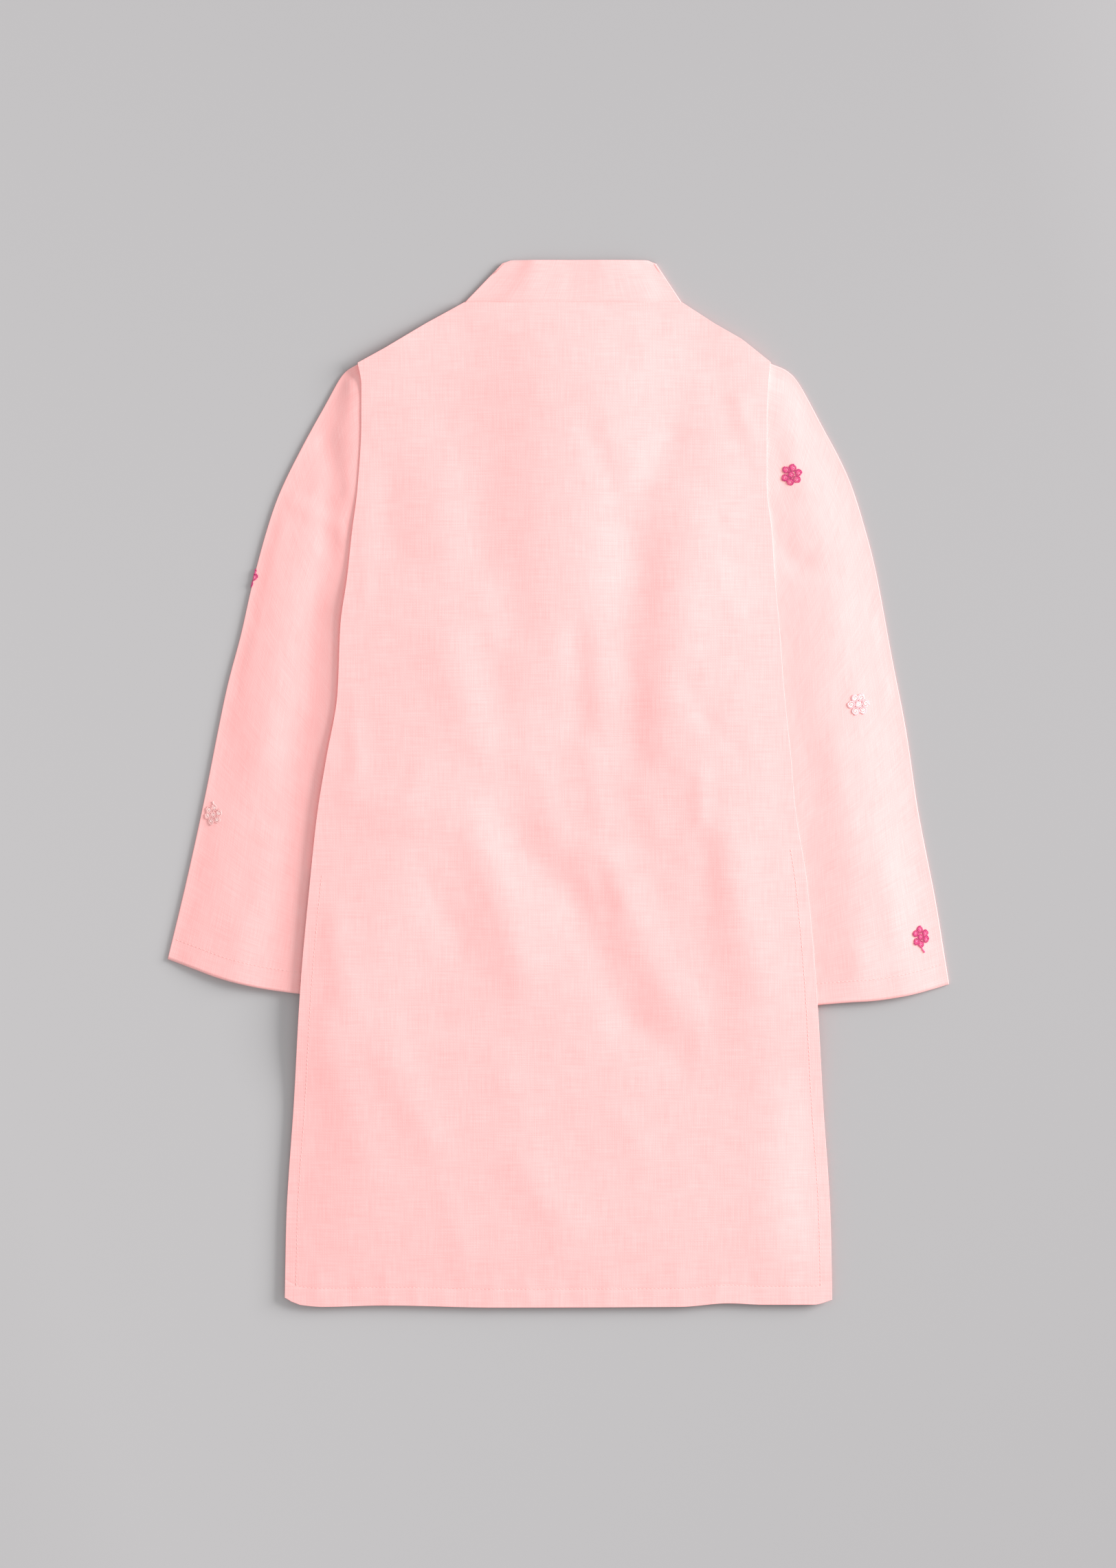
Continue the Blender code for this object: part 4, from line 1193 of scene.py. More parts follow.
@dataclass(frozen=True)
class Cut:
    """The flat cut of a piece of cloth: its width, length and area, in metres and square metres."""

    width: float
    length: float
    area: float


@dataclass
class BackPanel:
    """The back: a thin shell whose edge rolls down to the front at the sides and shoulders."""

    finishes: Finishes
    form: BodyForm = BODY
    cloth: float = 0.0007
    cell: float = 0.0027
    rim_insets: tuple[float, ...] = (0.0001, 0.0003, 0.0010, 0.0026, 0.0048)
    hem_offsets: tuple[float, ...] = (0.0078, 0.0100, 0.0118, 0.0126, 0.0130, 0.0134, 0.0144, 0.0164)
    # Insets of the rolled edge and its share of the height, from the top down
    roll: tuple[tuple[float, float], ...] = ((0.00002, 0.90), (0.0001, 0.62), (0.0004, 0.36), (0.0010, 0.08))
    # The groove that the hem's stitches draw
    stitch_dip: float = 0.00013
    dip_width: float = 0.0007
    # Bottom of the rolled edge: above the front where joined, and in thicknesses of cloth where free
    joined_gap: float = 0.0002
    free_depth: float = 1.6
    cut: Cut = Cut(0.383, 0.703, 0.233)

    def columns(self) -> Lines:
        """Share of the width and offset of each column, with the neck's corners on a column."""
        left, width = TOP_EDGE[0][0], TOP_EDGE[-1][0] - TOP_EDGE[0][0]
        corners = [(self.form.neck_left - left) / width, (self.form.neck_right - left) / width]
        marks = [0.0, *corners, 1.0]
        full = BODY_SIDES[0][2] - BODY_SIDES[0][1]
        share, offset = [0.0] * len(self.rim_insets), list(self.rim_insets)
        for low, high in zip(marks, marks[1:]):
            cells = round((high - low) * full / self.cell)
            share += list(np.linspace(low, high, cells + 1)[1:])
            offset += [0.0] * cells
        inner = [(s, o) for s, o in zip(share, offset) if s == 0.0 or self.rim_share < s < 1 - self.rim_share]
        mirrored = [(1.0, -inset) for inset in reversed(self.rim_insets)]
        table = np.array(inner + mirrored)
        return table[:, 0], table[:, 1]

    @property
    def rim_share(self) -> float:
        """Share of the width that the rim's own columns take."""
        return (self.rim_insets[-1] + self.cell / 2) / (TOP_EDGE[-1][0] - TOP_EDGE[0][0])

    def rows(self) -> Lines:
        """Share of the height and offset of each row, closer together in the hem."""
        offsets = self.rim_insets + self.hem_offsets
        height = TOP_EDGE[0][1] - HEM_EDGE[0][1]
        first = (offsets[-1] + self.cell) / height
        last = 1 - (self.rim_insets[-1] + self.cell) / height
        cells = round((last - first) * height / self.cell)
        table = [(0.0, offset) for offset in offsets]
        table += [(share, 0.0) for share in np.linspace(first, last, cells + 1)]
        table += [(1.0, -inset) for inset in reversed(self.rim_insets)]
        found = np.array(table)
        return found[:, 0], found[:, 1]

    def height(self, x: Array, y: Array) -> Array:
        """Height of the outer face, with the finer creases and the dip of the hem's stitches."""
        z = self.form.back(x, y, BACK_FOLDS + BACK_CREASES)
        from_hem = y - self.form.hem_y(x) - self.form.hem_depth
        return z - self.stitch_dip * np.exp(-((from_hem / self.dip_width) ** 2))

    def edge_ring(self, inset: float, share: float, columns: Lines, rows: Lines) -> Array:
        """One loop of the rolled edge.

        Args:
            inset: Distance in from the outline.
            share: Share of the height from the edge's bottom to its top.
            columns, rows: The grid, whose outer lines the loop replaces.

        Returns:
            Its points in the order of rim_order.
        """
        share_x, offset_x = (c.copy() for c in columns)
        share_y, offset_y = (r.copy() for r in rows)
        offset_x[0], offset_x[-1] = inset, -inset
        offset_y[0], offset_y[-1] = inset, -inset
        x, y = self.form.plan((share_x, offset_x), (share_y, offset_y))
        rim = rim_order(*x.shape)
        x, y = x.ravel()[rim], y.ravel()[rim]
        top = self.height(x, y)
        joined = self.form.soft_front.at(x, y) + self.joined_gap
        free = top - self.free_depth * self.cloth
        low = free + (joined - free) * self.form.closed(x, y)
        return np.stack([x, y, low + (top - low) * share], axis=1)

    def build(self) -> Piece:
        """The panel as one closed shell."""
        columns, rows = self.columns(), self.rows()
        x, y = self.form.plan(columns, rows)
        z = self.height(x, y)
        upper = np.stack([x, y, z], axis=-1)
        lower = np.stack([x, y, z - self.cloth], axis=-1)
        rings = [self.edge_ring(inset, share, columns, rows) for inset, share in self.roll]
        mesh = shell_mesh("back_cloth", upper, lower, rings, np.stack([x, y], axis=-1))
        piece = finished("back_cloth", mesh, self.finishes.cotton)
        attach(piece, "root")
        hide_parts("back_panel")
        return piece


@dataclass
class FrontPanel:
    """The front, under the back: it lies on the floor and over the sleeves, and is cut for neck and arms."""

    finishes: Finishes
    form: BodyForm = BODY
    cloth: float = 0.0008
    cell: float = 0.0060
    inset: float = 0.0016
    armhole_gap: float = 0.0006
    slit_width: float = 0.0010
    reach: float = 0.25
    reach_y: float = 0.36
    cutter_height: float = 0.04
    neck_steps: int = 36
    armhole_steps: int = 18
    cut: Cut = Cut(0.383, 0.703, 0.216)

    def prism(self, name: str, outline: list[tuple[float, float]]) -> Piece:
        """A tall block over a flat outline, to cut with."""
        block = bmesh.new()
        corners = [block.verts.new((x, y, -self.cutter_height / 2)) for x, y in outline]
        face = block.faces.new(corners)
        lift = bmesh.ops.extrude_face_region(block, geom=[face])
        raised = [item for item in lift["geom"] if isinstance(item, bmesh.types.BMVert)]
        bmesh.ops.translate(block, verts=raised, vec=(0, 0, self.cutter_height))
        bmesh.ops.recalc_face_normals(block, faces=block.faces)
        mesh = bpy.data.meshes.new(name)
        block.to_mesh(mesh)
        block.free()
        return finished(name, mesh, None)

    def outlines(self) -> dict[str, list[tuple[float, float]]]:
        """Outlines of what is cut away: the neck, both armholes and the slit under the placket."""
        form = self.form
        half = (form.neck_right - form.neck_left) / 2 + form.seam_gap
        deep = form.neck_depth + form.seam_gap
        angles = np.linspace(0, math.pi, self.neck_steps + 1)
        neck = [(form.neck_middle - half * math.cos(a), form.neck_y - deep * math.sin(a)) for a in angles]
        neck += [(neck[-1][0], self.reach_y), (neck[0][0], self.reach_y)]
        found = {"neck": neck}
        for name, sleeve in (("left", LEFT_SLEEVE), ("right", RIGHT_SLEEVE)):
            sign = sleeve.side.value
            curve = smooth_line(sleeve.armhole_points, self.armhole_steps)
            curve = curve - np.array([sign * self.armhole_gap, 0.0])
            low = form.underarm_y - form.seam_gap
            far = sign * self.reach
            corners = [(curve[-1][0], low), (far, low), (far, self.reach_y), (curve[0][0], self.reach_y)]
            found[f"armhole_{name}"] = [tuple(point) for point in curve] + corners
        end = form.neck_y - form.neck_depth - form.placket_length + PLACKET_WIDTH / 2
        low_x, high_x = form.neck_middle - self.slit_width / 2, form.neck_middle + self.slit_width / 2
        found["slit"] = [(low_x, end), (high_x, end), (high_x, form.neck_y), (low_x, form.neck_y)]
        return found

    def build(self) -> Piece:
        """The panel as one closed shell, cut to shape."""
        form = self.form
        across = round(self.cut.width / self.cell)
        up = round(self.cut.length / self.cell)
        share_x, share_y = np.linspace(0, 1, across + 1), np.linspace(0, 1, up + 1)
        offset_x, offset_y = np.zeros(across + 1), np.zeros(up + 1)
        offset_x[0], offset_x[-1] = self.inset, -self.inset
        offset_y[0], offset_y[-1] = self.inset, -self.inset
        x, y = form.plan((share_x, offset_x), (share_y, offset_y))
        z = form.soft_front.at(x, y)
        lower = np.stack([x, y, z], axis=-1)
        upper = np.stack([x, y, z + self.cloth], axis=-1)
        mesh = shell_mesh("front_cloth", upper, lower, [], np.stack([x, y], axis=-1))
        whole = finished("front_whole", mesh, self.finishes.cotton)
        cutters = [self.prism(f"front_cut_{name}", outline) for name, outline in self.outlines().items()]
        for cutter in cutters:
            add_modifier(whole, cutter.name, "BOOLEAN", {"operation": "DIFFERENCE", "object": cutter})
        shaped = apply_modifiers(whole)
        drop(whole, *cutters)
        piece = finished("front_cloth", shaped, self.finishes.cotton)
        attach(piece, "root")
        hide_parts("front_panel")
        return piece


@dataclass
class Sleeve:
    """One sleeve: a flattened tube with folds on its open part."""

    name: str
    form: SleeveForm
    finishes: Finishes
    cloth: float = 0.0005
    rows: int = 190
    upper_cells: int = 66
    lower_cells: int = 14
    outer_steps: int = 6
    inner_steps: int = 4
    weld: float = 0.000001
    cut: Cut = Cut(0.40, 0.46, 0.118)

    def plan(self, across: Array, down: Array, lines: dict[str, Array]) -> Array:
        """Points of the sleeve laid flat.

        Args:
            across: Share from the outer fold to the inner one.
            down: Share from the armhole to the cuff.
            lines: The four edges, as points by name.

        Returns:
            X and Y of each point.
        """

        def at(line: Array, share: Array) -> Array:
            """Points of an edge at shares of its length."""
            keys = np.linspace(0, 1, len(line))
            return np.stack([np.interp(share, keys, line[:, k]) for k in range(2)], axis=-1)

        outer, inner = at(lines["outer"], down), at(lines["inner"], down)
        start, end = at(lines["armhole"], across), at(lines["cuff"], across)
        across, down = across[..., None], down[..., None]
        ruled = outer + (inner - outer) * across + start + (end - start) * down
        first, last = lines["outer"][0], lines["outer"][-1]
        top = first + (lines["inner"][0] - first) * across
        bottom = last + (lines["inner"][-1] - last) * across
        return ruled - (top + (bottom - top) * down)

    def build(self) -> Piece:
        """The tube with its wall."""
        form = self.form
        outer_radius, inner_radius = form.fold_height / 2, form.height / 2
        lines = {
            "outer": smooth_line(form.outer_points, self.rows),
            "inner": smooth_line(form.inner_points, self.rows),
            "armhole": smooth_line(form.armhole_points, self.upper_cells),
            "cuff": smooth_line(form.cuff_points, self.upper_cells),
        }
        down = np.linspace(0, 1, self.rows + 1)
        outer_edge, middle, inner_edge = (self.plan(0 * down + share, down, lines) for share in (0, 0.5, 1))
        width = np.linalg.norm(inner_edge - outer_edge, axis=1)
        stations, places = [], []
        length = np.linalg.norm(np.diff(lines["outer"], axis=0), axis=1).sum()

        def wall(share: float, upper: bool) -> None:
            """Adds one line of the upper or lower wall."""
            across = (outer_radius + (width - outer_radius - inner_radius) * share) / width
            point = self.plan(across, down, lines)
            z = form.top(point[:, 0], point[:, 1]) if upper else 0 * down
            stations.append(np.stack([point[:, 0], point[:, 1], z], axis=1))
            around = across * width if upper else -across * width
            places.append(np.stack([around, -down * length], axis=1))

        def turn(across: float, angle: float) -> None:
            """Adds one line of a rounded fold."""
            radius = outer_radius if across == 0 else inner_radius
            edge = outer_edge if across == 0 else inner_edge
            inward = middle - edge
            inward /= np.linalg.norm(inward, axis=1)[:, None]
            depth = radius * (form.fold_press if across == 0 else 1.0)
            point = edge + inward * depth * (1 - math.sin(angle))
            rising = 1 if across == 0 else -1
            z = 0 * down + radius - radius * math.cos(angle) * rising
            stations.append(np.stack([point[:, 0], point[:, 1], z], axis=1))
            around = (angle - math.pi / 2) * radius * rising + across * width
            places.append(np.stack([around, -down * length], axis=1))

        for k in range(self.lower_cells - 1, 0, -1):
            wall(k / self.lower_cells, False)
        for k in range(self.outer_steps + 1):
            turn(0, math.pi * k / self.outer_steps)
        for k in range(self.upper_cells):
            wall(k / self.upper_cells, True)
        for k in range(self.inner_steps + 1):
            turn(1, math.pi * k / self.inner_steps)
        stations.append(stations[0])
        places.append(places[0])
        mesh = sheet_mesh(self.name, np.stack(stations, axis=1), np.stack(places, axis=1))
        tube = bmesh.new()
        tube.from_mesh(mesh)
        bmesh.ops.remove_doubles(tube, verts=tube.verts, dist=self.weld)
        bmesh.ops.recalc_face_normals(tube, faces=tube.faces)
        tube.to_mesh(mesh)
        tube.free()
        piece = finished(self.name, mesh, self.finishes.cotton)
        inwards = {"thickness": self.cloth, "offset": -1.0, "use_even_offset": True}
        add_modifier(piece, "wall", "SOLIDIFY", inwards)
        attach(piece, "root")
        return piece


@dataclass
class CollarBand:
    """The stand-up band laid flat: a ring of doubled cloth, open at the centre front."""

    finishes: Finishes
    form: BodyForm = BODY
    height: float = 0.0036
    fold_height: float = 0.0021
    fold_rise: float = 0.034
    # Depth of the pressed fold's turn as a share of half its height
    fold_press: float = 0.4
    # Place of the station just past each fold, as a share of the band's width
    past_fold: float = 0.0025
    wall: float = 0.0009
    top_left: float = -0.0375
    top_right: float = 0.0665
    top_y: float = 0.3655
    front_top_depth: float = 0.0515
    seam_gap: float = -0.0001
    corner_cut: float = 0.0028
    corner_width: float = 0.008
    opening: float = 0.0010
    front_steps: int = 22
    back_steps: int = 52
    turn_steps: int = 8
    across: int = 12
    edge_round: float = 0.0004
    edge_steps: int = 3
    edge_angle: float = 50.0
    # Soft unevenness of the band, in mm: start_x, start_y, end_x, end_y, half_width, rise
    folds: Table = (
        (-46.0, 340.0, -30.0, 362.0, 8.0, -0.5),
        (-18.0, 340.0, -16.0, 364.0, 9.0, 0.25),
        (8.0, 350.0, 9.0, 366.0, 7.0, -0.25),
        (30.0, 352.0, 33.0, 366.0, 8.0, 0.3),
        (52.0, 346.0, 55.0, 366.0, 8.0, -0.2),
    )
    cut: Cut = Cut(0.33, 0.030, 0.0094)

    def stations(self) -> list[tuple[Array, Array, float]]:
        """Stations round the band as (base, top, height): front left, back, front right."""
        form = self.form
        radius = self.fold_height / 2
        half_neck = (form.neck_right - form.neck_left) / 2
        half_top = (self.top_right - self.top_left) / 2
        top_middle = (self.top_right + self.top_left) / 2
        base_y = form.neck_y + self.seam_gap

        def rounded(base: Array, top: Array) -> Array:
            """The top point, drawn down towards the base near the band's ends."""
            from_end = min(base[0] - form.neck_left, form.neck_right - base[0])
            cut = self.corner_cut * (1 - float(smoothstep(from_end / self.corner_width)))
            return top + (base - top) / np.linalg.norm(base - top) * cut

        def front(angle: float) -> tuple[Array, Array, float]:
            """A station of the hidden half at an angle of the neckline."""
            cos, sin = math.cos(angle), math.sin(angle)
            base = np.array([form.neck_middle - half_neck * cos, form.neck_y - form.neck_depth * sin])
            top = np.array([top_middle - half_top * cos, self.top_y - self.front_top_depth * sin])
            return base, rounded(base, top), 0.0

        def turn(base: Array, top: Array, sign: int) -> list[tuple[Array, Array, float]]:
            """Half a turn round the fold at one end of the flat band, from the bottom up."""
            found = []
            fold = (top - base) / np.linalg.norm(top - base)
            square_up = fold * self.wall * abs(fold[0]) / fold[1]
            for step in range(self.turn_steps + 1):
                angle = math.pi * step / self.turn_steps
                shift = np.array([sign * radius * self.fold_press * (1 - math.sin(angle)), 0.0])
                lift = radius - radius * math.cos(angle)
                found.append((base + shift + square_up * math.sin(angle), top + shift, lift))
            return found

        steps = [math.pi * i / (2 * self.front_steps) for i in range(1, self.front_steps + 1)]
        left_half = [front(angle) for angle in reversed(steps)]
        right_half = [front(math.pi - angle) for angle in steps]
        for half, sign in ((left_half[0], -1), (right_half[-1], 1)):
            half[0][0] += sign * self.opening / 2
            half[1][0] = half[0][0]
        ends = []
        corners = ((form.neck_left, self.top_left, 1), (form.neck_right, self.top_right, -1))
        for neck_x, top_x, sign in corners:
            base = np.array([neck_x, base_y])
            ends.append(turn(base, rounded(base, np.array([top_x, self.top_y])), sign))
        left, right = ends[0], ends[1][::-1]
        back = []
        for share in (self.past_fold, *np.arange(1, self.back_steps) / self.back_steps, 1 - self.past_fold):
            base = left[-1][0] + (right[0][0] - left[-1][0]) * share
            flat_top = np.array([self.top_left + (self.top_right - self.top_left) * share, self.top_y])
            top = rounded(base, flat_top)
            from_end = min(base[0] - form.neck_left, form.neck_right - base[0])
            rise = float(smoothstep(from_end / self.fold_rise))
            back.append((base, top, self.fold_height + (self.height - self.fold_height) * rise))
        return left_half + left + back + right + right_half

    def build(self) -> Piece:
        """The band with its wall and softly rounded edges."""
        form = self.form
        stations = self.stations()
        rows = []
        for step in range(self.across + 1):
            share = step / self.across
            line = np.array([[*(base + (top - base) * share), lift] for base, top, lift in stations])
            x, y = line[:, 0], line[:, 1]
            flat = np.isclose(line[:, 2], 0.0)
            line[:, 2] = np.where(flat, form.over_placket(x, y), line[:, 2])
            upper = smoothstep((line[:, 2] - self.height / 2) / (self.height / 2))
            line[:, 2] += folds_at(x, y, self.folds) * upper * np.where(flat, 0.0, 1.0)
            rows.append(line)
        points = np.stack(rows)
        along = np.concatenate([[0.0], np.cumsum(np.linalg.norm(np.diff(points[0], axis=0), axis=1))])
        down = np.linspace(0, self.cut.length, self.across + 1)
        weave = np.stack(np.broadcast_arrays(along[None, :], down[:, None]), axis=-1)
        mesh = sheet_mesh("collar_cloth", points, weave)
        piece = finished("collar_cloth", mesh, self.finishes.cotton)
        inwards = {"thickness": self.wall, "offset": -1.0, "use_quality_normals": True}
        add_modifier(piece, "wall", "SOLIDIFY", inwards)
        rounding = {"width": self.edge_round, "segments": self.edge_steps, "limit_method": "ANGLE"}
        add_modifier(piece, "edge", "BEVEL", {**rounding, "angle_limit": math.radians(self.edge_angle)})
        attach(piece, "root")
        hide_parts("collar_band")
        return piece


@dataclass
class Placket:
    """The strip under the front panel with its box of stitches and three buttons."""

    finishes: Finishes
    form: BodyForm = BODY
    width: float = PLACKET_WIDTH
    wall: float = 0.0009
    base: float = 0.00175
    cells_across: int = 6
    cells_up: int = 48
    edge_round: float = 0.0003
    edge_steps: int = 2
    stitch_inset: float = 0.0025
    button_radius: float = 0.005
    button_height: float = 0.0014
    button_drops: tuple[float, ...] = (0.025, 0.080, 0.135)
    button_sides: int = 36
    button_weld: float = 0.000005
    # Edges of the button that turn by more than this many degrees stay sharp
    sharp_angle: float = 40.0
    hole_radius: float = 0.00065
    hole_sides: int = 16
    # How far the holes lie from the button's middle, along x and along y
    hole_offset: float = 0.0013 / 1.2
    # Level of the thread, as a share of the button's height
    thread_level: float = 0.22
    cut: Cut = Cut(0.026, 0.190, 0.0049)

    @property
    def top_y(self) -> float:
        """Y of the strip's upper end, at the front neckline."""
        return self.form.neck_y - self.form.neck_depth - self.form.seam_gap

    def build_strip(self) -> Piece:
        """The strip, cut square at both ends."""
        length = self.form.placket_length
        x = np.linspace(-self.width / 2, self.width / 2, self.cells_across + 1)
        y = np.linspace(self.top_y - length, self.top_y, self.cells_up + 1)
        grid_x, grid_y = np.meshgrid(x, y)
        z = np.full_like(grid_x, self.base)
        points = np.stack([grid_x + self.form.neck_middle, grid_y, z], axis=-1)
        weave = np.stack([grid_x, grid_y], axis=-1)
        mesh = sheet_mesh("placket_cloth", points, weave)
        piece = finished("placket_cloth", mesh, self.finishes.cotton)
        add_modifier(piece, "wall", "SOLIDIFY", {"thickness": self.wall, "offset": 1.0})
        rounding = {"width": self.edge_round, "segments": self.edge_steps, "limit_method": "ANGLE"}
        add_modifier(piece, "edge", "BEVEL", rounding)
        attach(piece, "root")
        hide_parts("placket")
        return piece

    def build_stitches(self) -> Piece:
        """Stitches round the strip, seen on the face that lies down."""
        half = self.width / 2 - self.stitch_inset
        low = self.top_y - self.form.placket_length + self.stitch_inset
        high = self.top_y - self.stitch_inset
        middle = self.form.neck_middle
        corners = [(-half, high), (-half, low), (half, low), (half, high)]
        path = np.array([(middle + x, y, self.base) for x, y in corners])
        layer = StitchLayer("placket_stitch_tree", pitch=0.0026, length=0.0021, width=0.0004, height=0.0003)
        return layer.lay("placket_stitches", [path], self.finishes.seam_thread)

    def build_button(self, number: int, drop_down: float) -> Piece:
        """A four-hole button with a raised rim, face down."""
        radius, height = self.button_radius, self.button_height
        # Half section of the button from the axis of its face to the axis of its back: radius, height
        section = (
            (0.0, 0.30 * height),
            (0.56 * radius, 0.30 * height),
            (0.66 * radius, 0.10 * height),
            (0.80 * radius, 0.0),
            (0.93 * radius, 0.06 * height),
            (radius, 0.35 * height),
            (0.97 * radius, 0.75 * height),
            (0.82 * radius, height),
            (0.0, height),
        )
        turned = bmesh.new()
        line = [turned.verts.new((r, 0.0, z)) for r, z in section]
        edges = [turned.edges.new(pair) for pair in zip(line, line[1:])]
        bmesh.ops.spin(
            turned, geom=line + edges, axis=(0, 0, 1), cent=(0, 0, 0), angle=2 * math.pi,
            steps=self.button_sides, use_merge=True,
        )
        bmesh.ops.remove_doubles(turned, verts=turned.verts, dist=self.button_weld)
        bmesh.ops.recalc_face_normals(turned, faces=turned.faces)
        place = Vector((self.form.neck_middle, self.form.neck_y - self.form.neck_depth - drop_down, 0.0))
        bmesh.ops.translate(turned, verts=turned.verts, vec=place)
        mesh = bpy.data.meshes.new("button")
        turned.to_mesh(mesh)
        turned.free()
        whole = finished("button_whole", mesh, self.finishes.pearl)
        cutters = []
        for sign_x in (-1, 1):
            for sign_y in (-1, 1):
                hole = bmesh.new()
                bmesh.ops.create_cone(
                    hole, cap_ends=True, segments=self.hole_sides, radius1=self.hole_radius,
                    radius2=self.hole_radius, depth=4 * height,
                )
                offset = Vector((sign_x * self.hole_offset, sign_y * self.hole_offset, 0.0))
                bmesh.ops.translate(hole, verts=hole.verts, vec=place + offset)
                hole_mesh = bpy.data.meshes.new("hole")
                hole.to_mesh(hole_mesh)
                hole.free()
                cutter = finished("hole_cutter", hole_mesh, None)
                add_modifier(whole, "hole", "BOOLEAN", {"operation": "DIFFERENCE", "object": cutter})
                cutters.append(cutter)
        shaped = apply_modifiers(whole)
        drop(whole, *cutters)
        shaped.name = f"button_{number}_pearl"
        piece = finished(f"button_{number}_pearl", shaped, self.finishes.pearl)
        piece.data.set_sharp_from_angle(angle=math.radians(self.sharp_angle))
        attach(piece, "root")
        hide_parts(f"button_{number}")
        return piece

    def build_button_threads(self) -> Piece:
        """Two bars of thread in the middle of each button."""
        reach = self.hole_offset
        paths = []
        for drop_down in self.button_drops:
            y = self.form.neck_y - self.form.neck_depth - drop_down
            for sign in (-1, 1):
                x = self.form.neck_middle + sign * reach
                z = self.thread_level * self.button_height
                paths.append(np.array([(x, y - reach, z), (x, y + reach, z)]))
        layer = StitchLayer("button_thread_tree", pitch=0.0005, length=0.0011, width=0.0007, height=0.0003)
        return layer.lay("button_threads", paths, self.finishes.seam_thread)

    def build(self) -> list[Piece]:
        """The strip, its stitches, the buttons and their thread."""
        strip = self.build_strip()
        stitches = self.build_stitches()
        threads = self.build_button_threads()
        for sewn in (stitches, threads):
            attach(sewn, "root")
        drops = enumerate(self.button_drops, 1)
        buttons = [self.build_button(number, drop_down) for number, drop_down in drops]
        return [strip, stitches, threads, *buttons]


@dataclass
class Hems:
    """Machine stitches on the hem, the vents and the cuffs."""

    finishes: Finishes
    back: BackPanel
    vent_depth: float = 0.008
    cuff_depth: float = 0.015
    above: float = 0.00005
    step: float = 0.003
    # The hem's stitches run from left_end to right_end, those of the vents from low_end to past their tops
    left_end: float = -0.183
    right_end: float = 0.1835
    low_end: float = -0.3500
    past_vent: float = 0.004
    cuff_steps: int = 60
    fold_steps: int = 200
    # Steps at the fold's lower end that give the sleeve's direction at the cuff
    end_steps: int = 11
    fold_clearance: float = 0.0022

    def layer(self, name: str) -> StitchLayer:
        """Lock stitches 2.8 mm long."""
        return StitchLayer(name, pitch=0.0028, length=0.0022, width=0.00032, height=0.00026)

    def on_back(self, x: Array, y: Array) -> Array:
        """A path on the back panel's outer face."""
        return np.stack([x, y, self.back.height(x, y) + self.above], axis=1)

    def build_body(self) -> Piece:
        """Stitches across the back's hem and up both vents."""
        form = self.back.form
        x = np.arange(self.left_end, self.right_end, self.step)
        paths = [self.on_back(x, form.hem_y(x) + form.hem_depth)]
        for side, vent_top in ((Side.LEFT, form.left_vent_top), (Side.RIGHT, form.right_vent_top)):
            y = np.arange(self.low_end, vent_top + self.past_vent, self.step)
            paths.append(self.on_back(form.side_x(y, side) - side.value * self.vent_depth, y))
        piece = self.layer("hem_stitch_tree").lay("hem_stitches", paths, self.finishes.seam_thread)
        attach(piece, "root")
        return piece

    def build_cuff(self, sleeve: Sleeve) -> Piece:
        """Stitches across the upper wall of one cuff."""
        form = sleeve.form
        cuff = smooth_line(form.cuff_points, self.cuff_steps)
        outer = smooth_line(form.outer_points, self.fold_steps)
        direction = outer[-1] - outer[-1 - self.end_steps]
        direction /= np.linalg.norm(direction)
        line = cuff - direction * self.cuff_depth
        inside = form.side.value * (form.fold_x(line[:, 1]) - line[:, 0]) > self.fold_clearance
        line = line[inside]
        z = form.top(line[:, 0], line[:, 1]) + self.above
        path = np.stack([line[:, 0], line[:, 1], z], axis=1)
        name = f"{sleeve.name}_cuff_stitches"
        piece = self.layer(f"{name}_tree").lay(name, [path], self.finishes.seam_thread)
        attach(piece, "root")
        return piece


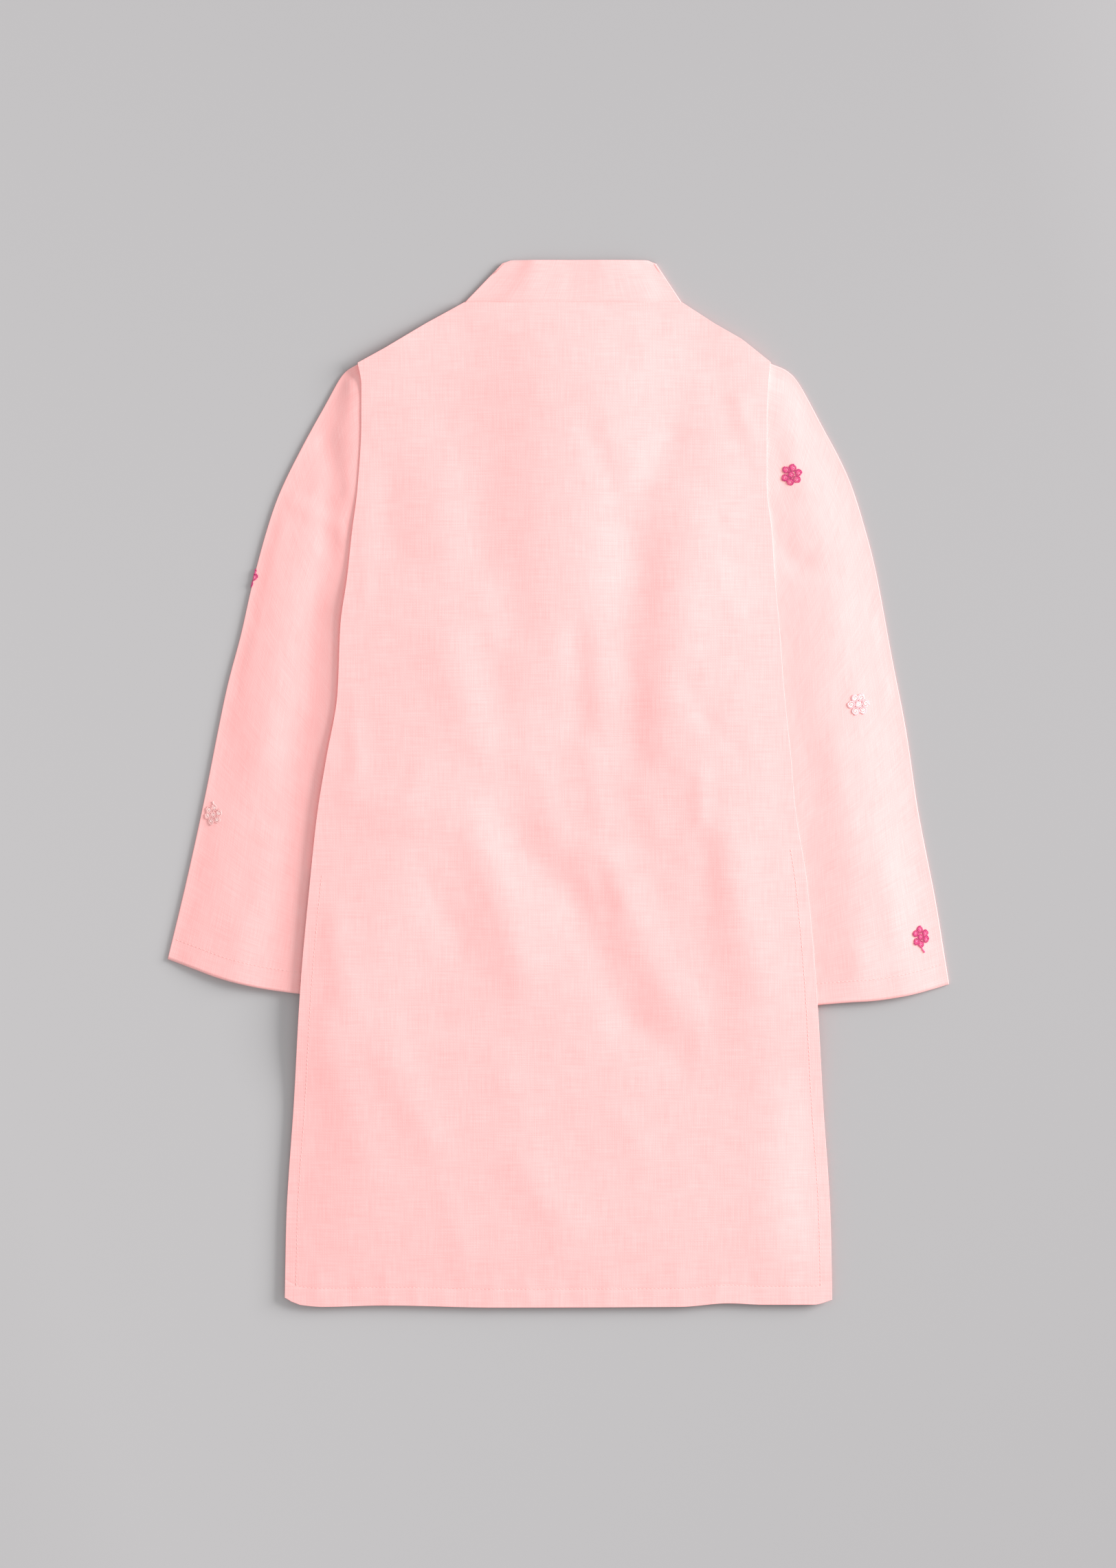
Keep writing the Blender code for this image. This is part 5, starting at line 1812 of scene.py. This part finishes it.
@dataclass
class ThreadFlower:
    """A small flower of spiral petals in chain stitch, laid on a sleeve."""

    name: str
    node: str
    slot: str
    sleeve: SleeveForm
    centre: tuple[float, float]
    thread: Material
    turn_degrees: float = 82.0
    squeeze: float = 1.0
    wander: float = 0.12
    seed: int = 1
    tail: tuple[tuple[float, float], ...] = ()
    wraps: bool = False
    ring_radius: float = 0.00510
    petal_radius: float = 0.00225
    heart_radius: float = 0.00190
    thread_radius: float = 0.00042
    petals: int = 6
    spiral_turns: float = 2.1
    spiral_steps: int = 44
    # Turns that a petal's thread makes along its edge before it runs inwards, and where it ends
    edge_turns: float = 0.55
    inner_radius: float = 0.00030
    # Height of the thread's middle above the cloth, in radii of the thread
    raise_share: float = 0.6
    # How much the petals differ: their direction and the start of their spirals in radians, then their
    # distance from the heart and their size as ranges of shares
    angle_wander: float = 0.12
    start_wander: float = 0.5
    ring_range: tuple[float, float] = (0.95, 1.03)
    petal_range: tuple[float, float] = (0.93, 1.06)
    tail_depth: float = 0.5

    def spiral(self, centre: tuple[float, float], radius: float, start: float) -> Lines:
        """One petal from its edge inwards, and its depth from 0 at the edge to 1 in the middle."""
        share = np.linspace(0, 1, self.spiral_steps)
        inwards = np.clip(share * self.spiral_turns - self.edge_turns, 0, None)
        reach = radius + (self.inner_radius - radius) * inwards / (self.spiral_turns - self.edge_turns)
        angle = start + 2 * math.pi * self.spiral_turns * share
        x = centre[0] + reach * np.cos(angle) * self.squeeze
        y = centre[1] + reach * np.sin(angle)
        return np.stack([x, y], axis=1), 1 - reach / radius

    def on_cloth(self, flat: Array) -> Array:
        """Places points on the sleeve: on its upper wall, or round its outer fold.

        Args:
            flat: Points of the plane; where the flower wraps, x counts along the cloth from the fold.

        Returns:
            The points in space.
        """
        x, y = flat[:, 0], flat[:, 1]
        raised = self.raise_share * self.thread_radius
        if not self.wraps:
            return np.stack([x, y, self.sleeve.top(x, y) + raised], axis=1)
        radius = self.sleeve.fold_height / 2
        quarter = math.pi / 2 * radius
        angle = np.clip(x, 0, quarter) / radius
        beyond = np.maximum(x - quarter, 0.0)
        depth = radius * self.sleeve.fold_press
        fold = self.sleeve.fold_x(y)
        sign = -self.sleeve.side.value
        place = fold + sign * (depth - (depth + raised) * np.cos(angle) + beyond)
        flat_z = self.sleeve.top(place, y) + raised
        turned_z = radius + (radius + raised) * np.sin(angle)
        return np.stack([place, y, np.where(beyond > 0, flat_z, turned_z)], axis=1)

    def build(self) -> Piece:
        """All petals, the heart and any loose end as one piece."""
        chance = np.random.default_rng(self.seed)
        paths, depths = [], []
        for petal in range(self.petals + 1):
            heart = petal == self.petals
            angle = math.radians(self.turn_degrees) + 2 * math.pi * petal / self.petals
            angle += chance.uniform(-self.angle_wander, self.angle_wander)
            reach = 0.0 if heart else self.ring_radius * chance.uniform(*self.ring_range)
            centre = (
                self.centre[0] + reach * math.cos(angle) * self.squeeze,
                self.centre[1] + reach * math.sin(angle),
            )
            radius = (self.heart_radius if heart else self.petal_radius) * chance.uniform(*self.petal_range)
            start = angle + chance.uniform(-self.start_wander, self.start_wander)
            flat, depth = self.spiral(centre, radius, start)
            if self.wraps:
                shown = flat[:, 0] > 0
                for run in np.split(np.arange(len(flat)), np.where(np.diff(shown.astype(int)))[0] + 1):
                    if shown[run[0]] and len(run) > 2:
                        paths.append(self.on_cloth(flat[run]))
                        depths.append(depth[run])
                continue
            paths.append(self.on_cloth(flat))
            depths.append(depth)
        if self.tail:
            paths.append(self.on_cloth(np.array(self.tail)))
            depths.append(np.full(len(self.tail), self.tail_depth))
        layer = StitchLayer(
            f"{self.name}_tree", pitch=0.00085, length=0.00125, width=0.00050, height=0.00070,
            strand_angle=0.30, strand_spread=0.00021, wander=self.wander, seed=self.seed,
        )
        piece = layer.lay(self.name, paths, self.thread, depths)
        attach(piece, "root")
        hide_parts(self.node)
        return piece


@dataclass
class Studio:
    """Pale grey paper, a large soft light from the right and a camera straight above."""

    view_height: float = 1.0954
    image_centre: tuple[float, float] = (-0.0005, -0.0006)
    lens: float = 85.0
    sensor: float = 36.0
    cloth_level: float = 0.004
    floor_size: float = 40.0
    floor_drop: float = 0.0002
    key_elevation: float = 20.0
    key_distance: float = 2.7
    key_size: tuple[float, float] = (1.5, 1.1)
    key_power: float = 132.0
    sky: float = 0.75

    def build(self) -> None:
        """Adds the floor, the lights, the camera and the plain colour transform."""
        scene = bpy.context.scene
        mesh = bpy.data.meshes.new("floor")
        half = self.floor_size / 2
        corners = [(-half, -half, 0), (half, -half, 0), (half, half, 0), (-half, half, 0)]
        mesh.from_pydata(corners, [], [(0, 1, 2, 3)])
        floor = finished("floor", mesh, StudioPaper().build())
        floor.location.z = -self.floor_drop
        world = bpy.data.worlds.new("studio")
        scene.world = world
        world.use_nodes = True
        background = world.node_tree.nodes["Background"]
        background.inputs["Color"].default_value = (1.0, 1.0, 1.0, 1.0)
        background.inputs["Strength"].default_value = self.sky
        key = bpy.data.lights.new("key", "AREA")
        key.shape = "RECTANGLE"
        key.size, key.size_y = self.key_size
        key.energy = self.key_power
        lamp = bpy.data.objects.new("key", key)
        scene.collection.objects.link(lamp)
        elevation = math.radians(self.key_elevation)
        flat = Vector((*LIGHT_DIRECTION, 0.0)).normalized()
        towards = flat * math.cos(elevation) + Vector((0, 0, math.sin(elevation)))
        lamp.location = towards * self.key_distance
        lamp.rotation_mode = "QUATERNION"
        lamp.rotation_quaternion = towards.to_track_quat("Z", "Y")
        camera = bpy.data.cameras.new("camera")
        camera.lens = self.lens
        camera.sensor_width = self.sensor
        holder = bpy.data.objects.new("camera", camera)
        scene.collection.objects.link(holder)
        distance = self.view_height / 2 * self.lens / (self.sensor / 2)
        holder.location = (*self.image_centre, distance + self.cloth_level)
        scene.camera = holder
        scene.view_settings.view_transform = "Standard"


@dataclass
class Kurta:
    """The whole garment, built piece by piece."""

    finishes: Finishes

    def build(self) -> None:
        front = FrontPanel(self.finishes)
        front_piece = front.build()
        report(front_piece)
        back = BackPanel(self.finishes)
        back_piece = back.build()
        report(back_piece)
        hems = Hems(self.finishes, back)
        report(hems.build_body())
        for node, form in (("sleeve_left", LEFT_SLEEVE), ("sleeve_right", RIGHT_SLEEVE)):
            sleeve = Sleeve(f"{node}_cloth", form, self.finishes)
            piece = sleeve.build()
            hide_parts(node)
            report(piece)
            report(hems.build_cuff(sleeve))
        collar = CollarBand(self.finishes)
        collar_piece = collar.build()
        report(collar_piece)
        placket = Placket(self.finishes)
        placket_pieces = placket.build()
        for piece in placket_pieces:
            report(piece)
        for flower in self.flowers():
            report(flower.build())

    def flowers(self) -> list[ThreadFlower]:
        """The five flowers, three on the right sleeve and two on the left."""
        f = self.finishes
        return [
            ThreadFlower("flower_right_1_thread", "flower_right_1", "magenta_thread", RIGHT_SLEEVE,
                         (0.1625, 0.2155), f.magenta, seed=3),
            ThreadFlower("flower_right_2_thread", "flower_right_2", "white_thread", RIGHT_SLEEVE,
                         (0.2095, 0.0550), f.white, turn_degrees=66.0, seed=5),
            ThreadFlower("flower_right_3_thread", "flower_right_3", "magenta_thread", RIGHT_SLEEVE,
                         (0.2530, -0.1075), f.magenta, turn_degrees=95.0, squeeze=0.78, seed=7,
                         tail=((0.2535, -0.1145), (0.2543, -0.1163), (0.2555, -0.1180))),
            ThreadFlower("flower_left_thread", "flower_left", "pale_thread", LEFT_SLEEVE,
                         (-0.2415, -0.0220), f.pale, turn_degrees=75.0, squeeze=0.8, seed=9,
                         tail=((-0.2412, -0.0150), (-0.2418, -0.0132))),
            ThreadFlower("flower_left_fold_thread", "flower_left_fold", "magenta_thread", LEFT_SLEEVE,
                         (-0.0038, 0.1435), f.magenta, turn_degrees=58.0, seed=11, wraps=True),
        ]


def report(piece: Piece) -> None:
    """Logs a piece's name and triangles."""
    graph = bpy.context.evaluated_depsgraph_get()
    shown = piece.evaluated_get(graph)
    mesh = shown.to_mesh()
    mesh.calc_loop_triangles()
    LOG.info("%s: %d triangles", piece.name, len(mesh.loop_triangles))
    shown.to_mesh_clear()


def main() -> None:
    """Builds the studio and the kurta."""
    logging.basicConfig(level=logging.INFO, format="%(name)s: %(message)s")
    Studio().build()
    Kurta(Finishes()).build()


if __name__ == "__main__":
    main()
